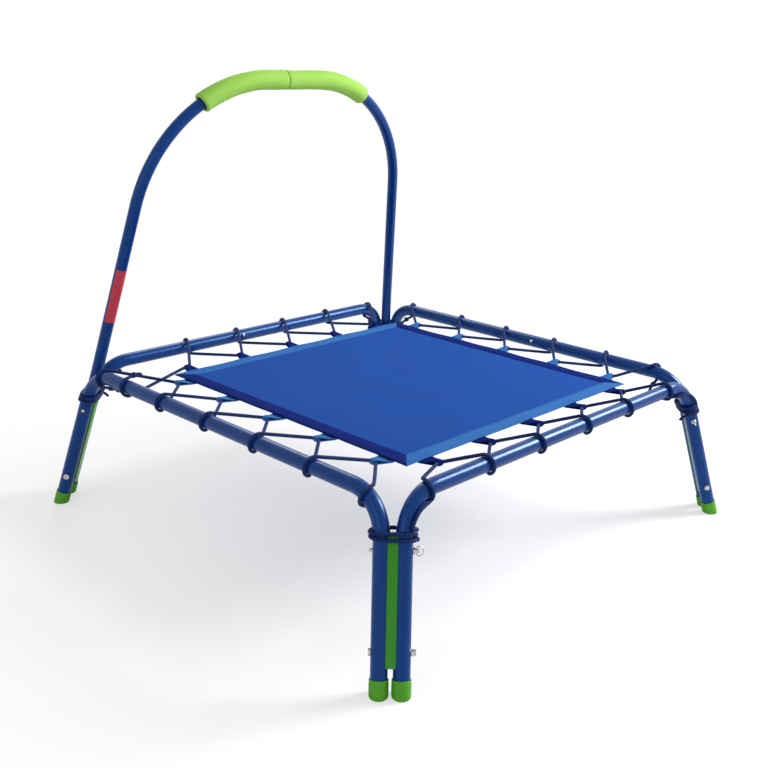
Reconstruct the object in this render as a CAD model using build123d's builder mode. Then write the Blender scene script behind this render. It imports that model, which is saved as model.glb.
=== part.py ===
from build123d import *
import os
from math import asin, atan, atan2, cos, degrees, pi, radians, sin, sqrt, tan

os.makedirs("parts", exist_ok=True)

# ---------------------------------------------------------------- driving dimensions, mm
# The origin is on the floor under the middle of the frame. +Z is up and the handle is at +Y.
RAIL_SPAN = 832.0           # axis to axis of two opposite rails
RAIL_HEIGHT = 271.0         # rail axis above the floor
LEG_SPREAD = 58.4           # how far a foot stands outside its rail, along X and along Y
BEND_RADIUS = 72.0          # centreline bend between a rail and its leg
TUBE_OD = 25.4
TUBE_WALL = 1.2
PLAIN_PAIR_GAP = 6.9        # space between the two legs of a corner with no handle

HANDLE_OD = 22.2
HANDLE_WALL = 1.2
HANDLE_TOP = 540.0          # handle axis above the rail axis at its highest
HANDLE_LEAN = 0.19          # how far a handle leg leans inwards per mm of height
HANDLE_BEND_RADIUS = 280.0
HANDLE_KNEE_RADIUS = 400.0  # slight bend where a handle leg leaves the frame
SOCKET_DROP = 96.0          # handle end below the rail axis
GRIP_OD = 37.0
GRIP_SEAM = 22.0            # seam of the two foam sleeves, left of the handle's middle
GRIP_LENGTH = {"left": 199.0, "right": 222.0}      # along the handle, from the seam
BAND_FROM = 99.0            # coloured band on the left handle leg, along the handle plane
BAND_TO = 202.0
BAND_THICKNESS = 0.35
BAND_WRAP = 190.0           # degrees of the tube that the band covers
BAND_FACING = -71.0         # degrees from +X to the band's middle, seen from above

MAT_SIDE = 618.0            # over its hems
MAT_SHIFT_X = 14.0          # the laced mat sits this far off the middle of the frame
MAT_SHIFT_Y = -17.0
MAT_DROP = 8.0              # mat below the rail axis
BED_THICKNESS = 1.2
HEM_WIDTH = 30.0
HEM_THICKNESS = 3.2
HEM_EDGE = 2.0              # closed edge of the folded hem, outside the bed

TAB_COUNT = 5
TAB_PITCH = 131.0
TAB_REACH = 26.0            # fold centre outside the hem's edge
TAB_HOLD = 16.0             # webbing sewn over the hem
TAB_BASE = 30.0
TAB_TIP = 9.0
WEBBING = 1.2

CORD_OD = 6.0
CORD_WRAP_RADIUS = 15.0     # inside arc of a turn round a rail
CORD_TAB_RADIUS = 5.0
KNOT_DIAMETER = 12.0
LASHING_DROPS = (56.0, 62.8)

CAP_OD = 28.6
CAP_HEIGHT = 25.0           # along the leg, from the floor
CAP_FLOOR = 9.0             # leg end above the floor
SPACER_TOP_DROP = 50.0
SPACER_BOTTOM_HEIGHT = 40.0

PIN_DROP = 73.0             # ring pin below the rail axis
PIN_OD = 6.0
PIN_SHOULDER_OD = 10.0
PIN_SHOULDER = 3.0
PIN_NOSE = 5.0
RING_WIRE = 1.8
RING_RADIUS = 6.5
RING_CORNER = 2.5
BOLT_HEIGHT = 60.0          # lower bolt above the floor
BOLT_OD = 6.0
BOLT_HEAD_OD = 11.0
BOLT_HEAD = 3.5
NUT_OD = 11.0
NUT_LENGTH = 7.0

STUB_LENGTH = 70.0          # reduced end of one rail half, inside the other
STUB_COLLAR = 3.0
BUTTON_FROM_JOINT = 41.0
BUTTON_OD = 6.4
BUTTON_PROUD = 3.5
BUTTON_FLANGE_OD = 9.5
BUTTON_FLANGE = 1.5
BUTTON_TILT = 15.0          # degrees above level, on the mat side of the rail
SPRING_STRIP = 0.6
SPRING_WIDTH = 8.0
SPRING_LENGTH = 36.0
SLEEVE_LENGTH = 120.0       # joins the two handle halves inside

# ---------------------------------------------------------------- named clearances, mm
SOFT_GAP = 0.3              # between a cord and what it goes round
SEAT_GAP = 0.05             # between pieces that are pushed or clamped together
RUN_GAP = 0.08              # radial, round a pin or a ring that moves
TUBE_GAP = 0.15             # radial, between a stub and the tube round it
HANDLE_GAP = 0.3            # each side of the handle between its two legs
BUTTON_GAP = 0.1            # radial, round a spring button
SPRING_GAP = 0.1

# ---------------------------------------------------------------- places worked out from them
HALF = RAIL_SPAN / 2
SLOPE = LEG_SPREAD / RAIL_HEIGHT
LEG_STRETCH = sqrt(1 + 2 * SLOPE**2)
LEG_TURN = pi / 2 - atan(SLOPE / sqrt(1 + SLOPE**2))
BEND_TANGENT = BEND_RADIUS * tan(LEG_TURN / 2)
TUBE_R = TUBE_OD / 2
HANDLE_R = HANDLE_OD / 2
CORD_R = CORD_OD / 2
HANDLE_PAIR_GAP = HANDLE_OD + 2 * HANDLE_GAP
WRAP = TUBE_R + CORD_R + SOFT_GAP
FOLD_R = CORD_R + SOFT_GAP
MAT_Z = RAIL_HEIGHT - MAT_DROP
UP = Vector(0, 0, 1)


def save(part, label):
    """Name a finished piece and write it."""
    part.label = label
    export_step(part, f"parts/{label}.step")


class Corner:
    """One corner of the frame: two leaning legs side by side, one from each rail."""

    def __init__(self, name, sign_x, sign_y):
        self.name = name
        self.sign_x, self.sign_y = sign_x, sign_y
        self.gap = HANDLE_PAIR_GAP if sign_y > 0 else PLAIN_PAIR_GAP
        self.spacing = TUBE_OD + self.gap
        self.inset = self.spacing / sqrt(2)
        self.down = Vector(sign_x * SLOPE, sign_y * SLOPE, -1).normalized()
        self.across = Vector(-sign_x, sign_y, 0).normalized()
        self.outward = self.across.cross(self.down).normalized()

    def middle(self, drop):
        """Point midway between the two leg axes, at a drop below the rail axis."""
        reach = HALF - self.inset / 2 + SLOPE * drop
        return Vector(self.sign_x * reach, self.sign_y * reach, RAIL_HEIGHT - drop)

    def leg(self, along_y, drop):
        """Point on the axis of one leg. along_y picks the leg of the rail that runs along Y."""
        side = -1 if along_y else 1
        return self.middle(drop) + self.across * (side * self.spacing / 2)

    def leg_plane(self, drop):
        """Plane square to the legs, X across the pair, Z up along the legs."""
        return Plane(origin=self.middle(drop), x_dir=self.across, z_dir=-self.down)

    def across_plane(self, drop, offset=0.0):
        """Plane square to the pins and bolts, Z across the pair."""
        return Plane(origin=self.middle(drop) + self.across * offset, x_dir=self.down,
                     z_dir=self.across)


CORNERS = [Corner("front_left", -1, -1), Corner("front_right", 1, -1),
           Corner("back_left", -1, 1), Corner("back_right", 1, 1)]
CORNER = {corner.name: corner for corner in CORNERS}


class Side:
    """One rail, from its low end to its high end along X or Y, and what is laced to it."""

    def __init__(self, name, low, high, stub_side, wrap_lead, start_wrap, end_wrap):
        self.name = name
        self.low, self.high = CORNER[low], CORNER[high]
        self.along_y = self.low.sign_x == self.high.sign_x
        self.along = Vector(0, 1, 0) if self.along_y else Vector(1, 0, 0)
        middle = Vector(self.low.sign_x * HALF, 0, 0) if self.along_y else \
            Vector(0, self.low.sign_y * HALF, 0)
        self.inward = (middle * -1).normalized()
        self.middle = middle + UP * RAIL_HEIGHT
        self.stub_side = stub_side
        self.wrap_lead, self.start_wrap, self.end_wrap = wrap_lead, start_wrap, end_wrap
        shift = Vector(MAT_SHIFT_X, MAT_SHIFT_Y, 0)
        self.mat_along = shift.dot(self.along)
        self.mat_edge = HALF + shift.dot(self.inward) - MAT_SIDE / 2
        self.tab_depth = self.mat_edge - TAB_REACH

    def ends(self, sign):
        """Corner at one end of the rail."""
        return self.high if sign > 0 else self.low

    def bend_point(self, sign):
        """Where the rail's axis would meet its leg's axis."""
        return self.ends(sign).leg(self.along_y, 0)

    def local(self, along, inward, up):
        """Point given along the rail, towards the mat and above the rail's axis."""
        return self.middle + self.along * along + self.inward * inward + UP * up

    def frame(self, along):
        """Point on the tube's axis, and its mat-side and upper directions, bend included."""
        sign = 1 if along > 0 else -1
        straight = (self.bend_point(sign) - self.middle).length - BEND_TANGENT
        beyond = abs(along) - straight
        if beyond <= 0:
            return self.local(along, 0, 0), self.inward, UP
        start = self.along * sign
        leg = self.ends(sign).down
        inner = (leg - start * leg.dot(start)).normalized()
        angle = beyond / BEND_RADIUS
        centre = self.local(sign * straight, 0, 0) + inner * BEND_RADIUS
        upper = start * sin(angle) - inner * cos(angle)
        heading = start * cos(angle) + inner * sin(angle)
        mat_side = heading.cross(upper)
        mat_side = mat_side if mat_side.dot(self.inward) > 0 else mat_side * -1
        return centre + upper * BEND_RADIUS, mat_side, upper

    def tabs(self):
        """Places of the mat's tabs along this side."""
        first = -(TAB_COUNT - 1) / 2
        return [self.mat_along + (first + k) * TAB_PITCH for k in range(TAB_COUNT)]


SIDES = [
    Side("left", "front_left", "back_left", -1, 35.0, -368.0, 345.0),
    Side("front", "front_left", "front_right", 1, 35.0, -352.0, 318.0),
    Side("right", "front_right", "back_right", -1, 62.0, -340.0, 330.0),
    Side("back", "back_left", "back_right", -1, 72.0, None, 352.0),
]
SIDE = {side.name: side for side in SIDES}
END_NAMES = {("left", -1): "front", ("left", 1): "back", ("right", -1): "front",
             ("right", 1): "back", ("front", -1): "left", ("front", 1): "right",
             ("back", -1): "left", ("back", 1): "right"}


def tube_ring(plane, outer, inner):
    """A ring-shaped face to sweep or extrude."""
    with BuildSketch(plane) as ring:
        Circle(outer)
        Circle(inner, mode=Mode.SUBTRACT)
    return ring.sketch


def bore(plane, radius, length):
    """Cut a round hole, half its length each side of the plane, in the piece being built."""
    with BuildSketch(plane) as hole:
        Circle(radius)
    extrude(hole.sketch, amount=length / 2, both=True, mode=Mode.SUBTRACT)


def rod(plane, radius, length):
    """Add a round bar that starts at the plane, to the piece being built."""
    with BuildSketch(plane) as end:
        Circle(radius)
    extrude(end.sketch, amount=length)


def button_plane(side):
    """Plane at the tube's axis, Z out along the spring button, X away from the joint."""
    out = side.inward * cos(radians(BUTTON_TILT)) + UP * sin(radians(BUTTON_TILT))
    return Plane(origin=side.local(side.stub_side * BUTTON_FROM_JOINT, 0, 0),
                 x_dir=side.along * side.stub_side, z_dir=out)


# ---------------------------------------------------------------- rails: eight bent half tubes
LEG_END_DROP = RAIL_HEIGHT - CAP_FLOOR
BOLT_DROP = RAIL_HEIGHT - BOLT_HEIGHT
STUB_R = TUBE_R - TUBE_WALL - TUBE_GAP

for side in SIDES:
    for sign in (-1, 1):
        corner = side.ends(sign)
        joint = side.local(0, 0, 0)
        with BuildPart() as half_rail:
            with BuildLine() as route:
                FilletPolyline(joint, side.bend_point(sign), corner.leg(side.along_y, LEG_END_DROP),
                               radius=BEND_RADIUS)
            face = tube_ring(Plane(origin=joint, z_dir=side.along * sign), TUBE_R,
                             TUBE_R - TUBE_WALL)
            sweep(face, path=route.wire())
            if sign != side.stub_side:
                collar = Plane(origin=side.local(sign * STUB_COLLAR, 0, 0), z_dir=side.along * -sign)
                extrude(tube_ring(collar, TUBE_R - TUBE_WALL / 2, STUB_R - TUBE_WALL),
                        amount=STUB_COLLAR)
                extrude(tube_ring(collar, STUB_R, STUB_R - TUBE_WALL),
                        amount=STUB_COLLAR + STUB_LENGTH)
            through = Plane(origin=button_plane(side).origin + button_plane(side).z_dir * TUBE_R,
                            z_dir=button_plane(side).z_dir)
            bore(through, BUTTON_OD / 2 + BUTTON_GAP, TUBE_R)
            bore(corner.across_plane(PIN_DROP), PIN_OD / 2 + RUN_GAP, 4 * TUBE_OD)
            bore(corner.across_plane(BOLT_DROP), BOLT_OD / 2 + SEAT_GAP, 4 * TUBE_OD)
        save(half_rail.part, f"{side.name}_rail_{END_NAMES[side.name, sign]}_half")

# ---------------------------------------------------------------- foot caps
for corner in CORNERS:
    for along_y in (True, False):
        end = corner.leg(along_y, LEG_END_DROP)
        foot = corner.leg(along_y, RAIL_HEIGHT + TUBE_OD)
        top = CAP_HEIGHT - (CAP_FLOOR * LEG_STRETCH)
        with BuildPart() as foot_cap:
            rod(Plane(origin=foot, z_dir=-corner.down), CAP_OD / 2, (end - foot).length + top)
            with BuildSketch(Plane(origin=end, z_dir=-corner.down)) as pocket:
                Circle(TUBE_R + SEAT_GAP)
            extrude(pocket.sketch, amount=2 * CAP_HEIGHT, mode=Mode.SUBTRACT)
            split(bisect_by=Plane.XY, keep=Keep.TOP)
        which = "side" if along_y else ("back" if corner.sign_y > 0 else "front")
        save(foot_cap.part, f"foot_cap_{corner.name}_{which}")

# ---------------------------------------------------------------- green spacers between the legs
SPACER_DEPTH = {False: 10.5, True: 14.5}        # half depth, plain corner and handle corner
SPACER_WIDTH = {False: 8.0, True: 14.0}         # half width of the faces
SPACER_ROUND = 1.5
SPACER_BOTTOM_DROP = RAIL_HEIGHT - SPACER_BOTTOM_HEIGHT
LASHING_FOOT = LASHING_DROPS[1] + (CORD_R + SOFT_GAP) / LEG_STRETCH
SPACER_TOP = {False: SPACER_TOP_DROP, True: LASHING_FOOT}

for corner in CORNERS:
    handle_corner = corner.sign_y > 0
    with BuildPart() as spacer:
        with BuildSketch(corner.leg_plane(SPACER_BOTTOM_DROP)) as outline:
            RectangleRounded(2 * SPACER_WIDTH[handle_corner], 2 * SPACER_DEPTH[handle_corner],
                             SPACER_ROUND)
            with Locations((-corner.spacing / 2, 0), (corner.spacing / 2, 0)):
                Circle(TUBE_R + SEAT_GAP, mode=Mode.SUBTRACT)
        extrude(outline.sketch,
                amount=(SPACER_BOTTOM_DROP - SPACER_TOP[handle_corner]) * LEG_STRETCH)
        if handle_corner:
            bore(corner.leg_plane(0), HANDLE_R + SEAT_GAP, 2 * (SOCKET_DROP + SEAT_GAP) * LEG_STRETCH)
        bore(corner.across_plane(PIN_DROP), PIN_OD / 2 + RUN_GAP, 4 * TUBE_OD)
        bore(corner.across_plane(BOLT_DROP), BOLT_OD / 2 + SEAT_GAP, 4 * TUBE_OD)
    save(spacer.part, f"leg_spacer_{corner.name}")

# ---------------------------------------------------------------- ring pins and their rings
def pin_ends(corner):
    """Where the ring pin's nose and shoulder seats lie, measured across the pair."""
    return -corner.spacing / 2 - TUBE_R, corner.spacing / 2 + TUBE_R


EYE_OFFSET = PIN_SHOULDER + RING_WIRE + 0.6     # ring hole beyond the leg

for corner in CORNERS:
    nose, seat = pin_ends(corner)
    eye = corner.middle(PIN_DROP) + corner.across * (seat + EYE_OFFSET)
    with BuildPart() as ring_pin:
        rod(corner.across_plane(PIN_DROP, nose - PIN_NOSE), PIN_OD / 2, seat - nose + PIN_NOSE)
        tip = ring_pin.faces().sort_by(Axis(tuple(corner.middle(PIN_DROP)), tuple(corner.across)))[0]
        chamfer(tip.edges(), PIN_OD / 5)
        rod(corner.across_plane(PIN_DROP, seat + SEAT_GAP), PIN_SHOULDER_OD / 2, PIN_SHOULDER)
        rod(corner.across_plane(PIN_DROP, seat), PIN_OD / 2, EYE_OFFSET + RING_WIRE + 1.0)
        bore(Plane(origin=eye, z_dir=corner.down), RING_WIRE / 2 + RUN_GAP, 2 * PIN_OD)
    save(ring_pin.part, f"ring_pin_{corner.name}")

    with BuildPart() as pin_ring:
        ring_plane = Plane(origin=eye, x_dir=corner.across, z_dir=corner.outward)
        bar = RING_RADIUS - RING_CORNER
        bend = RING_CORNER * sin(pi / 4)
        with BuildLine(ring_plane) as loop:
            Line((0, -bar), (0, bar))
            ThreePointArc((0, bar), (RING_CORNER - bend, bar + bend), (RING_CORNER, RING_RADIUS))
            ThreePointArc((RING_CORNER, RING_RADIUS), (RING_CORNER + RING_RADIUS, 0),
                          (RING_CORNER, -RING_RADIUS))
            ThreePointArc((RING_CORNER, -RING_RADIUS), (RING_CORNER - bend, -bar - bend), (0, -bar))
        start = ring_plane.from_local_coords((0, -bar, 0))
        with BuildSketch(Plane(origin=start, z_dir=corner.down)) as wire:
            Circle(RING_WIRE / 2)
        sweep(wire.sketch, path=loop.wire())
    save(pin_ring.part, f"pin_ring_{corner.name}")

# ---------------------------------------------------------------- lower bolts and dome nuts
with BuildPart() as lower_bolts:
    for corner in CORNERS:
        nose, seat = pin_ends(corner)
        rod(corner.across_plane(BOLT_DROP, nose), BOLT_OD / 2, seat - nose + NUT_LENGTH / 2)
        rod(corner.across_plane(BOLT_DROP, nose - BOLT_HEAD), BOLT_HEAD_OD / 2, BOLT_HEAD)
save(lower_bolts.part, "lower_bolts")

with BuildPart() as lower_nuts:
    for corner in CORNERS:
        nose, seat = pin_ends(corner)
        base = corner.across_plane(BOLT_DROP, seat)
        with BuildSketch(base) as flats:
            RegularPolygon(NUT_OD / 2, 6)
        extrude(flats.sketch, amount=NUT_LENGTH * 0.6)
        rod(base, NUT_OD * 0.4, NUT_LENGTH)
        bore(base, BOLT_OD / 2 + SEAT_GAP, NUT_LENGTH + 2 * SEAT_GAP)
save(lower_nuts.part, "lower_nuts")

# ---------------------------------------------------------------- spring buttons in the rail joints
for side in SIDES:
    plane = button_plane(side)
    inside = STUB_R - TUBE_WALL
    under_wall = sqrt(inside**2 - (BUTTON_FLANGE_OD / 2)**2)
    flange_back = under_wall - SPRING_GAP - BUTTON_FLANGE
    with BuildPart() as button:
        rod(Plane(origin=plane.origin + plane.z_dir * flange_back, x_dir=plane.x_dir,
                  z_dir=plane.z_dir), BUTTON_FLANGE_OD / 2, BUTTON_FLANGE)
        rod(Plane(origin=plane.origin + plane.z_dir * flange_back, x_dir=plane.x_dir,
                  z_dir=plane.z_dir), BUTTON_OD / 2, TUBE_R + BUTTON_PROUD - flange_back)
        tip = button.faces().sort_by(Axis(tuple(plane.origin), tuple(plane.z_dir)))[-1]
        fillet(tip.edges(), BUTTON_OD / 4)
    save(button.part, f"spring_button_{side.name}")

    rear = -sqrt(inside**2 - (SPRING_WIDTH / 2)**2) + SPRING_GAP
    front = flange_back - SPRING_GAP
    strip_plane = Plane(origin=plane.origin, x_dir=plane.x_dir,
                        z_dir=plane.x_dir.cross(plane.z_dir))
    with BuildPart() as leaf:
        with BuildSketch(strip_plane) as strip:
            with BuildLine():
                Polyline((-4, front), (4, front), (SPRING_LENGTH, 0.5), (SPRING_LENGTH, -0.5),
                         (4, rear), (-4, rear), (-4, rear + SPRING_STRIP), (4, rear + SPRING_STRIP),
                         (SPRING_LENGTH - 2, 0), (4, front - SPRING_STRIP),
                         (-4, front - SPRING_STRIP), close=True)
            make_face()
        extrude(strip.sketch, amount=SPRING_WIDTH / 2, both=True)
    save(leaf.part, f"button_spring_{side.name}")

# ---------------------------------------------------------------- handle
# The handle lies in one tilted plane through the middles of the two back leg pairs.
HANDLE_FOOT = CORNER["back_right"].middle(0)
HANDLE_TILT = atan(SLOPE)
HANDLE_PLANE = Plane(origin=(0, HANDLE_FOOT.Y, RAIL_HEIGHT), x_dir=(1, 0, 0),
                     z_dir=(0, -cos(HANDLE_TILT), -sin(HANDLE_TILT)))
RISE = 1 / cos(HANDLE_TILT)             # length along the plane per mm of height
TOP_V = HANDLE_TOP * RISE
CORNER_U = HANDLE_FOOT.X - HANDLE_LEAN * HANDLE_TOP
SOCKET_U = HANDLE_FOOT.X + SLOPE * SOCKET_DROP
SOCKET_V = -SOCKET_DROP * RISE
LEAN_V = HANDLE_LEAN / RISE             # inward lean per mm along the plane
ARCH_TURN = pi / 2 - atan(LEAN_V)
ARCH_START = CORNER_U - HANDLE_BEND_RADIUS * tan(ARCH_TURN / 2)


def handle_ring(sign, outer, inner, along=0):
    """Section square to the top of the handle, facing one half of it."""
    top = HANDLE_PLANE.from_local_coords((along, TOP_V, 0))
    return tube_ring(Plane(origin=top, z_dir=(sign, 0, 0)), outer, inner)


for name, sign in (("left", -1), ("right", 1)):
    corner = CORNER[f"back_{name}"]
    with BuildPart() as handle_half:
        with BuildLine(HANDLE_PLANE) as route:
            FilletPolyline((0, TOP_V), (sign * CORNER_U, TOP_V), (sign * HANDLE_FOOT.X, 0),
                           (sign * SOCKET_U, SOCKET_V),
                           radius=[HANDLE_BEND_RADIUS, HANDLE_KNEE_RADIUS])
        sweep(handle_ring(sign, HANDLE_R, HANDLE_R - HANDLE_WALL), path=route.wire())
        bore(corner.across_plane(PIN_DROP), PIN_OD / 2 + RUN_GAP, 4 * TUBE_OD)
    save(handle_half.part, f"handle_{name}_half")

    with BuildPart() as grip:
        with BuildLine(HANDLE_PLANE) as route:
            straight = Line((-GRIP_SEAM, TOP_V), (sign * ARCH_START, TOP_V))
            JernArc(straight @ 1, (sign, 0), HANDLE_BEND_RADIUS,
                    -sign * degrees((GRIP_LENGTH[name] - straight.length) / HANDLE_BEND_RADIUS))
        sweep(handle_ring(sign, GRIP_OD / 2, HANDLE_R + SEAT_GAP, -GRIP_SEAM), path=route.wire())
    save(grip.part, f"foam_grip_{name}")

with BuildPart() as sleeve:
    for sign in (-1, 1):
        extrude(handle_ring(sign, HANDLE_R - HANDLE_WALL - TUBE_GAP,
                            HANDLE_R - 2 * HANDLE_WALL - TUBE_GAP), amount=SLEEVE_LENGTH / 2)
save(sleeve.part, "handle_inner_sleeve")

with BuildPart() as band:
    low = HANDLE_PLANE.from_local_coords((-HANDLE_FOOT.X + LEAN_V * BAND_FROM, BAND_FROM, 0))
    high = HANDLE_PLANE.from_local_coords((-HANDLE_FOOT.X + LEAN_V * BAND_TO, BAND_TO, 0))
    with BuildSketch(Plane(origin=low, x_dir=(1, 0, 0), z_dir=high - low)) as wrap:
        with BuildLine():
            start = BAND_FACING - BAND_WRAP / 2
            outer = CenterArc((0, 0), HANDLE_R + SEAT_GAP + BAND_THICKNESS, start, BAND_WRAP)
            inner = CenterArc((0, 0), HANDLE_R + SEAT_GAP, start, BAND_WRAP)
            Line(outer @ 0, inner @ 0)
            Line(outer @ 1, inner @ 1)
        make_face()
    extrude(wrap.sketch, amount=(high - low).length)
save(band.part, "handle_band")

# ---------------------------------------------------------------- mat: bed, hems and tabs
MAT_CENTRE = Vector(MAT_SHIFT_X, MAT_SHIFT_Y, MAT_Z)
BED_SIDE = MAT_SIDE - 2 * HEM_EDGE

with BuildPart() as bed:
    with BuildSketch(Plane(origin=MAT_CENTRE - UP * BED_THICKNESS / 2)):
        Rectangle(BED_SIDE, BED_SIDE)
    extrude(amount=BED_THICKNESS)
save(bed.part, "mat_bed")

for side in SIDES:
    edge = side.local(side.mat_along, side.mat_edge, -MAT_DROP)
    flat = Plane(origin=edge, x_dir=side.along, z_dir=side.along.cross(side.inward))
    with BuildPart() as hem:
        with BuildSketch(flat) as mitre:
            Polygon((-MAT_SIDE / 2, 0), (MAT_SIDE / 2, 0), (MAT_SIDE / 2 - HEM_WIDTH, HEM_WIDTH),
                    (-MAT_SIDE / 2 + HEM_WIDTH, HEM_WIDTH), align=None)
        extrude(mitre.sketch, amount=HEM_THICKNESS / 2, both=True)
        with BuildSketch(flat) as slot:
            with Locations((0, HEM_EDGE + BED_SIDE / 2)):
                Rectangle(BED_SIDE, BED_SIDE)
        extrude(slot.sketch, amount=BED_THICKNESS / 2, both=True, mode=Mode.SUBTRACT)
    save(hem.part, f"hem_{side.name}")

    with BuildPart() as tabs:
        for place in side.tabs():
            fold = side.local(place, side.tab_depth, -MAT_DROP)
            with BuildPart(mode=Mode.PRIVATE) as tab:
                inner_end = TAB_REACH + TAB_HOLD
                upper = Plane(origin=fold, x_dir=side.inward, z_dir=side.inward.cross(UP))
                with BuildSketch(upper) as section:
                    Circle(FOLD_R + WEBBING)
                    Polygon((0, -FOLD_R - WEBBING), (0, FOLD_R + WEBBING),
                            (TAB_REACH, HEM_THICKNESS / 2 + WEBBING),
                            (inner_end, HEM_THICKNESS / 2 + WEBBING),
                            (inner_end, -HEM_THICKNESS / 2 - WEBBING),
                            (TAB_REACH, -HEM_THICKNESS / 2 - WEBBING), align=None)
                    Circle(FOLD_R, mode=Mode.SUBTRACT)
                    Polygon((0, -FOLD_R), (0, FOLD_R), (TAB_REACH, HEM_THICKNESS / 2),
                            (inner_end, HEM_THICKNESS / 2), (inner_end, -HEM_THICKNESS / 2),
                            (TAB_REACH, -HEM_THICKNESS / 2), align=None, mode=Mode.SUBTRACT)
                extrude(section.sketch, amount=TAB_BASE, both=True)
                with BuildSketch(Plane(origin=fold, x_dir=side.along, z_dir=UP)) as plan:
                    depth = 1 if side.along.cross(side.inward).Z > 0 else -1
                    tip = FOLD_R + 2 * WEBBING
                    Polygon((-TAB_TIP / 2, -depth * tip), (TAB_TIP / 2, -depth * tip),
                            (TAB_TIP / 2, 0), (TAB_BASE / 2, depth * TAB_REACH),
                            (TAB_BASE / 2, depth * inner_end), (-TAB_BASE / 2, depth * inner_end),
                            (-TAB_BASE / 2, depth * TAB_REACH), (-TAB_TIP / 2, 0), align=None)
                extrude(plan.sketch, amount=TAB_BASE, both=True, mode=Mode.INTERSECT)
            add(tab.part)
    save(tabs.part, f"tabs_{side.name}")

# ---------------------------------------------------------------- elastic cords
# A cord goes from tab to tab. Between two tabs it passes over its rail, round the outside and
# back underneath. Each end goes once round a tube and stops in a knot.
WRAP_STEP = 3.6             # half the distance along the rail between over and under strands
TAB_STEP = 11.0             # half the straight stretch through a tab's fold
TAIL = 17.0                 # from the tube's axis to the knot, on the mat side
TAIL_RISE = 1.12            # knot above or below the axis, in wrap radii
START_ON_LEFT = 262.0       # where the back cord starts, along the left rail


def tangent_corner(side, along, other, sign):
    """Outer corner of a turn, so that the strand from the other point just clears the tube."""
    point, mat_side, upper = side.frame(along)
    depth, height = (other - point).dot(mat_side), (other - point).dot(upper)
    rise = atan2(height, depth)
    lean = asin(WRAP / sqrt(depth**2 + height**2))
    reach = height + (depth + WRAP) * tan(lean - rise) if sign > 0 else \
        height - (depth + WRAP) * tan(lean + rise)
    return point - mat_side * WRAP + upper * reach


def wrap_points(side, along, before, after, over_first=True, step=WRAP_STEP):
    """The two outer corners of a turn round the rail, between the points before and after it."""
    sign = 1 if over_first else -1
    return [tangent_corner(side, along - step, before, sign),
            tangent_corner(side, along + step, after, -sign)]


def tail_point(side, along, sign):
    """Where a cord's end stops, above or below the tube on the mat side."""
    point, mat_side, upper = side.frame(along)
    return point + mat_side * TAIL + upper * (sign * WRAP * TAIL_RISE)


def cord_route(side):
    """Corner points and bend radii of one side's cord."""
    folds = [[side.local(place + shift, side.tab_depth, -MAT_DROP) for shift in (-TAB_STEP, TAB_STEP)]
             for place in side.tabs()]
    if side.start_wrap is None:         # this cord starts round the neighbouring left rail
        start_side, start, direction, over_first = SIDE["left"], START_ON_LEFT, -1, True
    else:
        start_side, start, direction, over_first = side, side.start_wrap, 1, False
    step = direction * WRAP_STEP
    tail = tail_point(start_side, start - 2 * step, 1 if over_first else -1)
    points = [tail]
    points += wrap_points(start_side, start, tail, folds[0][0], over_first, step)
    radii = [CORD_WRAP_RADIUS] * 2
    for place, fold, following in zip(side.tabs(), folds, folds[1:] + [None]):
        points += fold
        radii += [CORD_TAB_RADIUS] * 2
        if following is not None:
            points += wrap_points(side, place + side.wrap_lead, fold[1], following[0])
            radii += [CORD_WRAP_RADIUS] * 2
    tail = tail_point(side, side.end_wrap + 2 * WRAP_STEP, -1)
    points += wrap_points(side, side.end_wrap, folds[-1][1], tail)
    radii += [CORD_WRAP_RADIUS] * 2
    return points + [tail], radii


for side in SIDES:
    points, radii = cord_route(side)
    with BuildPart() as cord:
        with BuildLine() as route:
            FilletPolyline(*points, radius=radii)
        ends = [Plane(points[0], z_dir=points[1] - points[0]),
                Plane(points[-1], z_dir=points[-1] - points[-2])]
        with BuildSketch(ends[0]) as section:
            Circle(CORD_R)
        sweep(section.sketch, path=route.wire())
        drawn = route.wire().length * pi * CORD_R**2
        print(side.name, "cord", round(route.wire().length), "mm, volume ratio",
              round(cord.part.volume / drawn, 4))
        with Locations(*ends):
            Sphere(KNOT_DIAMETER / 2)
    save(cord.part, f"elastic_cord_{side.name}")

# ---------------------------------------------------------------- lashings round the leg pairs
with BuildPart() as lashings:
    for corner in CORNERS:
        for drop, sign in zip(LASHING_DROPS, (-1, 1)):
            plane = corner.leg_plane(drop)
            radius = WRAP
            half = corner.spacing / 2
            with BuildPart(mode=Mode.PRIVATE) as turn:
                with BuildLine(plane) as loop:
                    Line((-half, radius), (half, radius))
                    ThreePointArc((half, radius), (half + radius, 0), (half, -radius))
                    Line((half, -radius), (-half, -radius))
                    ThreePointArc((-half, -radius), (-half - radius, 0), (-half, radius))
                start = plane.from_local_coords((-half, radius, 0))
                with BuildSketch(Plane(origin=start, z_dir=corner.across)) as end:
                    Circle(CORD_R)
                sweep(end.sketch, path=loop.wire())
            add(turn.part)
save(lashings.part, "corner_lashings")
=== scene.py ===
# %% [markdown]
# # A child's square trampoline, dressed over its CAD frame
# The steel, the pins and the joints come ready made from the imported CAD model, which is loaded
# first and never moved. This lesson gives every surface its finish and builds what CAD leaves
# plain: woven mat, webbing, elastic cord, foam grips and ribbed foot caps.
# All lengths are metres and all places are in the CAD model's own frame.

from math import acos, atan, atan2, copysign, cos, hypot, pi, radians, sin, sqrt, tan

import bmesh
import bpy
import numpy as np
from mathutils import Matrix, Vector


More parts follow.
